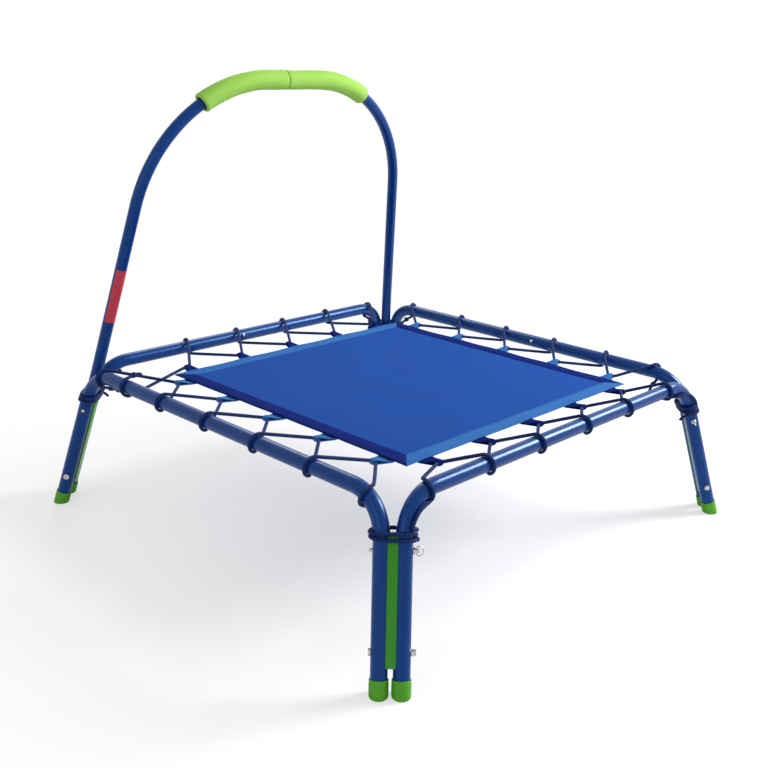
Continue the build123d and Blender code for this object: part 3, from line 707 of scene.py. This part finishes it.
def tab_path():
    """Depth towards the mat from the fold's centre, height, and share of gathering."""
    size = FOLD_R + WEBBING * 0.6
    leaves = []
    for seat, tip in ((-HEM_THICKNESS / 2 - WEBBING * 0.7, size),
                      (-HEM_THICKNESS / 2 - WEBBING * 1.8, -size)):
        leaf = []
        for k in range(9):
            depth = (TAB_REACH + TAB_HOLD) * (1 - k / 8)
            slope = max(0.0, 1 - depth / (TAB_REACH - 0.003))
            leaf.append((depth, seat + (tip - seat) * slope, max(0.0, 1 - depth / TAB_REACH)))
        leaves.append(leaf)
    turns = [pi / 2 + pi * k / 8 for k in range(1, 8)]
    return leaves[0] + [(size * cos(t), size * sin(t), 1.0) for t in turns] + leaves[1][::-1]


def tab_strip(side, place):
    """Points and faces of one tab with its thickness."""
    path = tab_path()
    layers = []
    for offset in (0.5, -0.5):
        for k, (depth, rise, gathered) in enumerate(path):
            before, after = path[max(k - 1, 0)], path[min(k + 1, len(path) - 1)]
            tangent = Vector((after[0] - before[0], after[1] - before[1])).normalized()
            normal = Vector((-tangent.y, tangent.x)) * -1
            width = TAB_BASE + (TAB_TIP - TAB_BASE) * gathered
            for s in range(TAB_ACROSS + 1):
                w = 2 * s / TAB_ACROSS - 1
                pleat = 0.0008 * cos(3.5 * pi * w) * min(1.0, gathered * 1.6) \
                    * (1 - 0.55 * gathered) - 0.0005 * w * w * gathered
                lift = offset * WEBBING + pleat
                layers.append(side.at(place + w * width / 2, side.mat_edge - TAB_REACH + depth
                                      + normal.x * lift, MAT_Z - RAIL_Z + rise + normal.y * lift))
    return layers, sheet_faces(len(path), TAB_ACROSS + 1)


for side in SIDES:
    points, faces, _ = join_shapes(tab_strip(side, place) for place in side.tabs)
    row_of_tabs = make_piece(f"tab_webbing_{side.name}", points, faces, WEBBING_SHEENS[side.tab_sheen],
                             "mat", [f"tabs_{side.name}"])
    outward_faces(row_of_tabs)

# %% [markdown]
# ## The stitching
# Two lines of lockstitch hold each hem and a box of stitches holds each tab. Painted dashes would
# vanish at a low angle, so each stitch is a tiny real bar of thread, sunk half into the webbing.
# All the stitches on one side of the mat are one piece.

# %% Stitches
STITCH, STITCH_PITCH, THREAD = 0.0030, 0.0038, 0.00042


def stitch_line(start, end):
    """Centres and directions of the stitches between two points."""
    count = max(1, int((end - start).length / STITCH_PITCH))
    ahead = (end - start).normalized()
    return [(start + (end - start) * ((k + 0.5) / count), ahead) for k in range(count)]


def stitch_shape(centre, ahead, upper):
    """A small six sided bar with pointed, pulled down ends."""
    other = ahead.cross(upper)
    rings = [(-0.5, 0.25, -0.9), (-0.25, 1.0, 0.0), (0.25, 1.0, 0.0), (0.5, 0.25, -0.9)]
    points = [centre + ahead * STITCH * u + upper * THREAD * sunk +
              (other * cos(pi * s / 3) + upper * sin(pi * s / 3)) * THREAD * size
              for u, size, sunk in rings for s in range(6)]
    return points, wall_faces(4, 6) + [[5, 4, 3, 2, 1, 0], [18 + s for s in range(6)]]


for side in SIDES:
    runs = []
    for face in (1, -1):
        for depth in (0.0045, 0.0258):
            reach = MAT_SIDE / 2 - depth - 0.004
            stops = np.linspace(-reach, reach, 60)
            lift = face * (HEM_THICKNESS / 2 + 0.00005)
            for a, b in zip(stops, stops[1:]):
                runs.append((on_hem(side, a, depth, lift), on_hem(side, b, depth, lift), face))
        for place in side.tabs:
            local = place - side.mat_along
            near, far, wide = 0.0035, TAB_HOLD - 0.002, TAB_BASE / 2 - 0.003
            lift = HEM_THICKNESS / 2 if face > 0 else -HEM_THICKNESS / 2 - WEBBING * 2.35
            box = [on_hem(side, local + x, y, lift) for x, y in
                   ((-wide, near), (wide, near), (wide, far), (-wide, far))]
            pairs = list(zip(box, box[1:] + box[:1])) + [(box[0], box[2]), (box[1], box[3])]
            runs += [(a, b, face) for a, b in pairs]
    points, faces, _ = join_shapes(stitch_shape(centre, ahead, Z * face) for start, end, face in runs
                                   for centre, ahead in stitch_line(start, end))
    thread = thread_pale if side.hem_colour == "navy" else thread_dark
    make_piece(f"stitches_{side.name}", points, faces, thread, "mat", ())
    print(side.name, len(points) // 24, "stitches")

# %% [markdown]
# ## The elastic cords
# One cord per side runs from tab to tab and once round its rail between two tabs. It is pulled
# tight, so it is straight in the open and as round as the tube where it goes over it. A smooth
# spline carries it: around a tube its control points are the corners of the polygon that just
# encloses the cord's turn, because such a spline touches every edge of that polygon halfway.
# The turn starts and ends where the straight strand is tangent to the tube.

# %% Helper: a turn round a rail
WRAP_STEP = 0.0036          # half of how far a turn moves along its rail
TURN_CORNERS = 4


def turn_round(side, along, before, after, over_first=True, step=WRAP_STEP):
    """Control points of a cord's turn round the rail, between two neighbouring points."""
    sign = 1 if over_first else -1
    ends = []
    for place, other, way in ((along - step, before, sign), (along + step, after, -sign)):
        centre, mat_side, upper = side.tube(place)
        depth, rise = (other - centre).dot(mat_side), (other - centre).dot(upper)
        ends.append(atan2(rise, depth) + way * acos(min(0.99, WRAP / hypot(depth, rise))))
    first, last = ends[0], ends[1] + 2 * pi * sign
    bite = (last - first) / TURN_CORNERS
    points = []
    for k in range(TURN_CORNERS):
        share = (k + 0.5) / TURN_CORNERS
        centre, mat_side, upper = side.tube(along + step * (2 * share - 1))
        turn, size = first + bite * (k + 0.5), WRAP / cos(bite / 2)
        points.append(centre + (mat_side * cos(turn) + upper * sin(turn)) * size)
    lead = WRAP * tan(abs(bite) / 2)
    edges = []
    for place, turn, other in ((along - step, first, before), (along + step, last, after)):
        centre, mat_side, upper = side.tube(place)
        touch = centre + (mat_side * cos(turn) + upper * sin(turn)) * WRAP
        edges.append(touch + (other - touch).normalized() * lead)
    return [edges[0], *points, edges[1]]


def loose_end(side, along, sign):
    """Where a cord stops in a knot, on the mat side of its rail."""
    centre, mat_side, upper = side.tube(along)
    return centre + mat_side * 0.017 + upper * sign * WRAP * 1.12


print("a turn has", len(turn_round(SIDES[0], 0, SIDES[0].at(-.1, .1), SIDES[0].at(.1, .1))),
      "control points")

# %% [markdown]
# ## Reading the spline
# Blender can work out the spline itself: the control points go into a NURBS curve, and its line
# comes back as points. Points that nearly coincide are left out, because a section can't be
# turned between them.

# %% Helper: read a smooth spline's line
def smooth_line(controls):
    """Points along the spline that has these control points."""
    curve = bpy.data.curves.new("cord_line", "CURVE")
    curve.dimensions, curve.resolution_u = "3D", 7
    spline = curve.splines.new("NURBS")
    spline.points.add(len(controls) - 1)
    for held, place in zip(spline.points, controls):
        held.co = (*place, 1)
    spline.order_u, spline.use_endpoint_u = 3, True
    carrier = bpy.data.objects.new("cord_line", curve)
    line = [v.co.copy() for v in bpy.data.meshes.new_from_object(carrier).vertices]
    bpy.data.objects.remove(carrier)
    kept_points = [line[0]]
    for point in line[1:]:
        if (point - kept_points[-1]).length > 0.0004:
            kept_points.append(point)
    return kept_points


print("a bend has", len(smooth_line([(0, 0, 0), (0.1, 0, 0), (0.1, 0.1, 0)])), "points")

# %% [markdown]
# ## Knots
# Each cord ends in an overhand knot with a short tail. A ball would do from afar, but a knot is
# lumpy: the same bar carried round a small three lobed loop looks right from every side.

# %% Helper: an overhand knot
KNOT_SIZE = 0.0011          # a third of the loop's greatest reach


def knot(place, heading):
    """The shapes of a knot and of its tail."""
    heading = heading.normalized()
    side = heading.orthogonal().normalized()
    other = heading.cross(side)
    loop = []
    for k in range(40):
        t = 2 * pi * k / 39 * 0.985
        loop.append(place + (side * (sin(t) + 2 * sin(2 * t)) + other * (cos(t) - 2 * cos(2 * t))
                             - heading * 1.4 * sin(3 * t)) * KNOT_SIZE)
    tail = [place, place + heading * 0.006, place + heading * 0.012 - Z * 0.001,
            place + heading * 0.017 - Z * 0.004]
    return [round_bar(loop, CORD_R * 0.95), round_bar(tail, CORD_R * 0.92)]


print("a knot is about", round(6000 * KNOT_SIZE + 2000 * CORD_R, 1), "mm across")

# %% [markdown]
# ## Cords that stretch with the mat
# When the mat moves, a cord's strands must follow it at the tabs and stay on the tube at the
# turns. The piece is blended between the frame and the mat. Its share of the mat's movement
# grows evenly with the distance from the nearest rail, so that a tight strand stays straight,
# and one that leaves for the next side's rail at a corner is right as well.

# %% Lace the four cords
# For each side: how far past a tab the cord turns round its rail, and where it starts and ends.
LACING = {"left": (0.035, -0.368, 0.345), "front": (0.035, -0.352, 0.318),
          "right": (0.062, -0.340, 0.330), "back": (0.072, None, 0.352)}
FOLD_HALF = 0.0062          # half of the bend that a cord makes inside a tab's fold
BACK_START = 0.262          # the back cord starts on the left rail, this far along it
STAY_WITHIN = 0.017         # a cord this near a rail's axis stays with the frame
FOLLOW_BEFORE = 0.005       # a cord follows the mat fully from this far before a fold


def cord_controls(side):
    """Control points of one side's cord, from knot to knot."""
    lead, start, end = LACING[side.name]
    folds = [[side.at(place + shift, side.mat_edge - TAB_REACH, MAT_Z - RAIL_Z)
              for shift in (-FOLD_HALF, FOLD_HALF)] for place in side.tabs]
    if start is None:
        tail = loose_end(SIDES[0], BACK_START + 2 * WRAP_STEP, 1)
        controls = [tail, *turn_round(SIDES[0], BACK_START, tail, folds[0][0], True, -WRAP_STEP)]
    else:
        tail = loose_end(side, start - 2 * WRAP_STEP, -1)
        controls = [tail, *turn_round(side, start, tail, folds[0][0], False)]
    for place, fold, following in zip(side.tabs, folds, folds[1:] + [None]):
        controls.append(fold[0] + (controls[-1] - fold[0]).normalized() * 0.012)
        controls += fold
        if following:
            turn = turn_round(side, place + lead, fold[1], following[0])
        else:
            tail = loose_end(side, end + 2 * WRAP_STEP, -1)
            turn = turn_round(side, end, fold[1], tail)
        controls.append(fold[1] + (turn[0] - fold[1]).normalized() * 0.012)
        controls += turn
    return controls + [tail]


def follow_mat(piece, side):
    """Blend a cord between the frame and the mat by its distance from the nearest rail."""
    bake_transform(piece, "frame", "mat", start=side.at(0, 0.02), end=side.at(0, 0.09))
    places = np.array([v.co for v in piece.data.vertices])
    depth = HALF - np.abs(places[:, :2]).max(1)
    strand = side.mat_edge - TAB_REACH - FOLLOW_BEFORE - STAY_WITHIN
    share = np.clip((depth - STAY_WITHIN) / strand, 0, 1)
    piece.data.attributes["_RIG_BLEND"].data.foreach_set("value", share.astype(np.float32))


for side in SIDES:
    controls = cord_controls(side)
    line = smooth_line(controls)
    length = sum((b - a).length for a, b in zip(line, line[1:]))
    points, faces, places = join_shapes([round_bar(line, CORD_R), *knot(line[0], line[0] - line[2]),
                                         *knot(line[-1], line[-1] - line[-3])])
    cord = make_piece(f"cord_{side.name}", points, faces, cord_navy, None,
                      [f"elastic_cord_{side.name}"])
    place_braid(cord.data, places)
    follow_mat(cord, side)
    print(side.name, "cord", round(length, 3), "m from", len(controls), "control points")

# %% [markdown]
# ## Lashings round the leg tops
# At each corner the two legs are tied together with the same cord: it comes down from a rail's
# bend, goes a little over two turns round both legs and ends in a knot. A ring round each leg
# would be simpler, but one spiralling cord is what a hand ties. Its control points enclose the
# outer half of each leg in turn, each a little lower than the last.

# %% Lash the corners
LASH_TOP, LASH_BOTTOM, LASH_TURNS = 0.042, 0.0585, 2
HALF_TURN = [radians(67.5 - 45 * k) for k in range(4)]
STRAIGHT_FROM = 0.062       # a leg is straight from this far below its rail


def lashing_controls(corner):
    """Control points of one corner's lashing, from its lead to its knot."""
    half, size = corner.spacing / 2, WRAP / cos(radians(22.5))
    turns = [(half, turn) for turn in HALF_TURN] + [(-half, pi + turn) for turn in HALF_TURN]
    turns = (turns * (LASH_TURNS + 1))[:8 * LASH_TURNS + 3]
    controls = []
    for k, (offset, turn) in enumerate(turns):
        drop = LASH_TOP + (LASH_BOTTOM - LASH_TOP) * k / (len(turns) - 1) + 0.0011 * sin(1.3 * k)
        above = max(0.0, STRAIGHT_FROM - drop)
        drift = (BEND - sqrt(BEND ** 2 - above ** 2)) * sqrt(0.5)
        controls.append(corner.middle(drop) + corner.out * (size * sin(turn) - drift)
                        + corner.across * (offset + copysign(drift, offset) + size * cos(turn)))
    return controls


def lead_in(corner):
    """The strand that comes down from the bend of the front or back rail."""
    side = SIDES[1] if corner.y < 0 else SIDES[3]
    points = []
    for along, turn in ((0.345, 285), (0.356, 240), (0.372, 205), (0.392, 178)):
        centre, mat_side, upper = side.tube(corner.x * along)
        points.append(centre + (mat_side * cos(radians(turn)) + upper * sin(radians(turn)))
                      * WRAP * 1.06)
    return points


for name in CORNERS:
    corner = Corner(name)
    line = smooth_line(lead_in(corner) + lashing_controls(corner))
    points, faces, places = join_shapes([round_bar(line, CORD_R),
                                         *knot(line[-1], line[-1] - line[-3])])
    lashing = make_piece(f"lashing_{name}", points, faces, cord_navy, "frame",
                         ["corner_lashings"] if name == "front_left" else ())
    place_braid(lashing.data, places)
    print("lashing", name, round(sum((b - a).length for a, b in zip(line, line[1:])), 3), "m")

# %% [markdown]
# ## Foam grips
# Two sleeves of closed cell foam meet in a seam near the middle of the handle. They follow its
# arch, so the first step is the handle's own line: a straight top and two arcs, in a plane that
# leans back with the legs.

# %% Helper: the handle's line
HANDLE_TOP, LEG_LEAN_IN, ARCH_RADIUS = 0.540, 0.19, 0.280
HANDLE_TILT = atan(LEAN_OUT)
HANDLE_FOOT = Corner("back_right").middle(0)
TOP = HANDLE_TOP / cos(HANDLE_TILT)
TURN_AT_TOP = pi / 2 - atan(LEG_LEAN_IN * cos(HANDLE_TILT))
ARCH_START = HANDLE_FOOT.x - LEG_LEAN_IN * HANDLE_TOP - ARCH_RADIUS * tan(TURN_AT_TOP / 2)


def handle_point(place):
    """Axis point and heading of the handle, at a signed distance from its middle."""
    turn = max(0.0, abs(place) - ARCH_START) / ARCH_RADIUS
    sign = 1 if place > 0 else -1
    u = sign * (min(abs(place), ARCH_START) + ARCH_RADIUS * sin(turn))
    v = TOP - ARCH_RADIUS * (1 - cos(turn))
    rise = Vector((0, -sin(HANDLE_TILT), cos(HANDLE_TILT)))
    centre = Vector((0, HANDLE_FOOT.y, RAIL_Z)) + Vector((u, 0, 0)) + rise * v
    return centre, Vector((cos(turn), 0, 0)) - rise * sin(turn) * sign


print("arch starts", round(ARCH_START, 4), "m from the middle, top at",
      round(handle_point(0)[0].z, 4), "m")

# %% [markdown]
# ## The sleeves
# Foam isn't as true as steel: a sleeve's wall swells and thins by a few tenths of a millimetre,
# its cut ends are a little crushed and their edges are soft. Each sleeve is a closed section, with
# outer wall, soft end and bore, that is turned about the handle's own line.

# %% Foam sleeves
GRIP_R, BORE_R, GRIP_SEAM = 0.0185, HANDLE_R + 0.0010, -0.022
GRIP_SIDES = 48


def grip_profile(length):
    """Run from the seam and radius, round the sleeve's closed section."""
    soft = 0.0020
    outer = [(0.0004, GRIP_R - soft), (0.0009, GRIP_R - soft * 0.4), (0.0022, GRIP_R)]
    outer += [(run, GRIP_R) for run in np.linspace(0.006, length - 0.006, 56)]
    outer += [(length - soft, GRIP_R), (length - soft * 0.4, GRIP_R - soft * 0.4),
              (length, GRIP_R - soft * 1.2)]
    inner = [(length, BORE_R + 0.0016), (length - 0.0012, BORE_R + 0.0008)]
    inner += [(run, BORE_R) for run in np.linspace(length - 0.010, 0.006, 44)]
    inner += [(0.0004, BORE_R + 0.0010)]
    return outer + inner


def foam_swell(run, turn, sign):
    """Unevenness of the foam wall, in metres."""
    return 0.00022 * sin(37 * run + 2 * turn + sign) + 0.00016 * sin(91 * run - 3 * turn) \
        + 0.00030 * cos(turn + 0.6 * sign)


for name, sign, length in (("left", -1, 0.199), ("right", 1, 0.222)):
    profile = grip_profile(length)
    points = []
    for run, radius in profile:
        centre, heading = handle_point(GRIP_SEAM + sign * run)
        side_way = Vector((0, cos(HANDLE_TILT), sin(HANDLE_TILT)))
        other = heading.cross(side_way)
        for s in range(GRIP_SIDES):
            turn = 2 * pi * s / GRIP_SIDES
            size = radius + (foam_swell(run, turn, sign) if radius > 0.017 else 0)
            points.append(centre + (side_way * cos(turn) + other * sin(turn)) * size)
    grip = make_piece(f"foam_sleeve_{name}", points, wall_faces(len(profile), GRIP_SIDES, True),
                      foam_lime, "frame", [f"foam_grip_{name}"])
    outward_faces(grip)
    print("foam sleeve", name, len(grip.data.polygons), "faces")

# %% [markdown]
# ## Foot caps
# The caps are moulded with fine grip ridges and a rounded foot, and stand flat on the floor
# although the legs lean. Each is a skin of vertical lines round the leg: every line starts on the
# floor, wherever the leaning tube meets it, and ends level with the cap's rim.

# %% Ribbed foot caps
CAP_R, CAP_HEIGHT, CAP_SIDES = 0.0143, 0.025, 64


def cap_profile():
    """Share of the cap's height and radius, from the middle of its sole to inside its rim."""
    rows = [(0.0, CAP_R * 0.45), (0.0, CAP_R - 0.0022), (0.012, CAP_R - 0.0010),
            (0.035, CAP_R - 0.0003)]
    for k in range(6):
        foot = 0.10 + 0.125 * k
        rows += [(foot, CAP_R - 0.0007), (foot + 0.022, CAP_R),
                 (foot + 0.070, CAP_R), (foot + 0.092, CAP_R - 0.0007)]
    return rows + [(0.90, CAP_R - 0.0001), (0.975, CAP_R - 0.0001), (1.0, CAP_R - 0.0005),
                   (1.0, TUBE_R + 0.0003), (0.97, TUBE_R), (0.80, TUBE_R)]


profile = cap_profile()
rows = len(profile)
for name in CORNERS:
    corner = Corner(name)
    for along_y in (True, False):
        which = "side" if along_y else ("back" if corner.y > 0 else "front")
        foot, axis = corner.leg(along_y, RAIL_Z), -corner.down
        points = []
        for share, radius in profile:
            for s in range(CAP_SIDES):
                turn = 2 * pi * s / CAP_SIDES
                out = (corner.across * cos(turn) + corner.out * sin(turn)) * radius
                low = -out.z / axis.z
                points.append(foot + out + axis * (low + (CAP_HEIGHT - low) * share))
        faces = wall_faces(rows, CAP_SIDES)
        faces += [list(range(CAP_SIDES))[::-1],
                  [(rows - 1) * CAP_SIDES + s for s in range(CAP_SIDES)]]
        cap = make_piece(f"ribbed_cap_{name}_{which}", points, faces, cap_lime, "frame",
                         [f"foot_cap_{name}_{which}"])
        outward_faces(cap)
print("eight ribbed caps,", rows, "rings each")

# %% [markdown]
# ## Spacers between the legs
# The green spacers are CAD pieces with sharp edges. A mould always leaves a small round on an
# edge, and that round is what catches the light, so each is copied and its edges are softened by
# a bevel. The copy stands for the CAD piece.

# %% Soften the spacers
for name in CORNERS:
    source = CAD[f"leg_spacer_{name}"]
    shape = bmesh.new()
    shape.from_mesh(source.data)
    bmesh.ops.remove_doubles(shape, verts=shape.verts, dist=0.00001)
    mesh = bpy.data.meshes.new(f"spacer_{name}")
    shape.to_mesh(mesh)
    shape.free()
    mesh.materials.append(spacer_green)
    spacer = bpy.data.objects.new(f"spacer_{name}", mesh)
    bpy.context.scene.collection.objects.link(spacer)
    mesh.polygons.foreach_set("use_smooth", [True] * len(mesh.polygons))
    soften = spacer.modifiers.new("soften", "BEVEL")
    soften.width, soften.segments, soften.limit_method = 0.0005, 2, "ANGLE"
    soften.angle_limit, soften.harden_normals = radians(35), True
    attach(spacer, "frame")
    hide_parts(f"leg_spacer_{name}")
print("four spacers softened")

# %% [markdown]
# ## Springs that bend with their buttons
# A V shaped leaf spring inside each rail's stub holds its button out. Its front leaf goes in with
# the button while the bend of the V and the rear leaf stay. Each spring is copied and blended:
# the front leaf's share of the button's movement falls evenly from the button to the bend.

# %% Leaf springs
BUTTON_TILT = radians(15)   # the buttons point this far above level, on the mat side
for side in SIDES:
    source, button = CAD[f"button_spring_{side.name}"], CAD[f"spring_button_{side.name}"]
    mesh = source.data.copy()
    mesh.name = f"leaf_spring_{side.name}"
    mesh.transform(source.matrix_world)
    spring = bpy.data.objects.new(mesh.name, mesh)
    bpy.context.scene.collection.objects.link(spring)
    press = side.inward * cos(BUTTON_TILT) + Z * sin(BUTTON_TILT)
    middle = sum((button.matrix_world @ v.co for v in button.data.vertices), Vector()) \
        / len(button.data.vertices)
    away = [abs((v.co - middle).dot(side.along)) for v in mesh.vertices]
    front = [(v.co - side.middle).dot(press) > 0 for v in mesh.vertices]
    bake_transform(spring, "frame", f"spring_button_{side.name}", start=middle + side.along * 0.04,
             end=middle)
    share = [is_front * min(1.0, (max(away) - far) / (max(away) - 0.005))
             for far, is_front in zip(away, front)]
    mesh.attributes["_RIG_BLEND"].data.foreach_set("value", np.array(share, np.float32))
    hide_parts(f"button_spring_{side.name}")
print("spring reach", round(max(away), 4), "m")

# %% [markdown]
# ## Floor and backdrop
# The object stands in a white studio. The floor is pale and takes the shadow near the object;
# further out it becomes plain white, and so does everything that a camera ray, a reflection or a
# refraction finds behind it, so that no horizon shows.

# %% Floor
FLOOR_REACH = 12.0


def seen_rays(tree):
    """1 for a ray from the camera, a reflection or a refraction, and 0 for one that lights."""
    rays = node(tree, "ShaderNodeLightPath").outputs
    return math_node(tree, "MAXIMUM", rays["Is Camera Ray"],
                     math_node(tree, "MAXIMUM", rays["Is Glossy Ray"], rays["Is Transmission Ray"]))


pale = bpy.data.materials.new("floor_pale")
pale.use_nodes = True
tree = pale.node_tree
tree.nodes.clear()
place = node(tree, "ShaderNodeTexCoord").outputs["Object"]
far = node(tree, "ShaderNodeVectorMath", {0: place}, operation="LENGTH").outputs["Value"]
fade = node(tree, "ShaderNodeMapRange", {"Value": far, "From Min": 0.7, "From Max": 1.7},
            interpolation_type="SMOOTHSTEP")
white = node(tree, "ShaderNodeEmission", {"Color": (1, 1, 1, 1), "Strength": 1.0})
matte = node(tree, "ShaderNodeBsdfDiffuse", {"Color": (0.93, 0.93, 0.93, 1)})
share = math_node(tree, "MULTIPLY", seen_rays(tree),
                  math_node(tree, "MULTIPLY_ADD", fade.outputs[0], 0.45, 0.55))
mixed = node(tree, "ShaderNodeMixShader", {0: share, 1: matte.outputs[0], 2: white.outputs[0]})
node(tree, "ShaderNodeOutputMaterial", {"Surface": mixed.outputs[0]})
floor = make_piece("floor", [(x * FLOOR_REACH, y * FLOOR_REACH, 0)
                             for x, y in ((-1, -1), (1, -1), (1, 1), (-1, 1))],
                   [(0, 1, 2, 3)], pale, None)
floor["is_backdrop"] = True
print("floor", 2 * FLOOR_REACH, "m across")

# %% Backdrop
world = bpy.data.worlds.new("studio")
bpy.context.scene.world = world
world.use_nodes = True
tree = world.node_tree
tree.nodes.clear()
strength = math_node(tree, "MULTIPLY_ADD", seen_rays(tree), 0.45, 0.55)
back = node(tree, "ShaderNodeBackground", {"Color": (1, 1, 1, 1), "Strength": strength})
node(tree, "ShaderNodeOutputWorld", {"Surface": back.outputs[0]})
bpy.context.scene.view_settings.view_transform = "Standard"
print("world", world.name)

# %% [markdown]
# ## Light
# A small lamp would throw hard shadows of every cord, so all three lamps are large discs. The
# strongest stands above and to the right of the camera and models the tubes, a weaker one fills
# from the left, and one from behind gives the pale edges.

# %% Lamps
LAMPS_AIM = (0, 0, 0.3)


def soft_lamp(name, place, size, power):
    light = bpy.data.lights.new(name, "AREA")
    light.shape, light.size, light.energy = "DISK", size, power
    lamp = bpy.data.objects.new(name, light)
    lamp.location = place
    lamp.rotation_euler = (Vector(LAMPS_AIM) - Vector(place)).to_track_quat("-Z", "Y").to_euler()
    bpy.context.scene.collection.objects.link(lamp)


soft_lamp("key", (2.15, -1.25, 1.95), 1.15, 112)
soft_lamp("fill", (-2.8, -0.6, 1.5), 1.8, 10)
soft_lamp("rim", (1.2, 2.0, 2.2), 1.2, 16)

# %% [markdown]
# ## Measuring the model
# The size of the box round every shown piece but the floor is printed.

# %% Measure and finish
low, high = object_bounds()
print("model", [round(b - a, 4) for a, b in zip(low, high)])
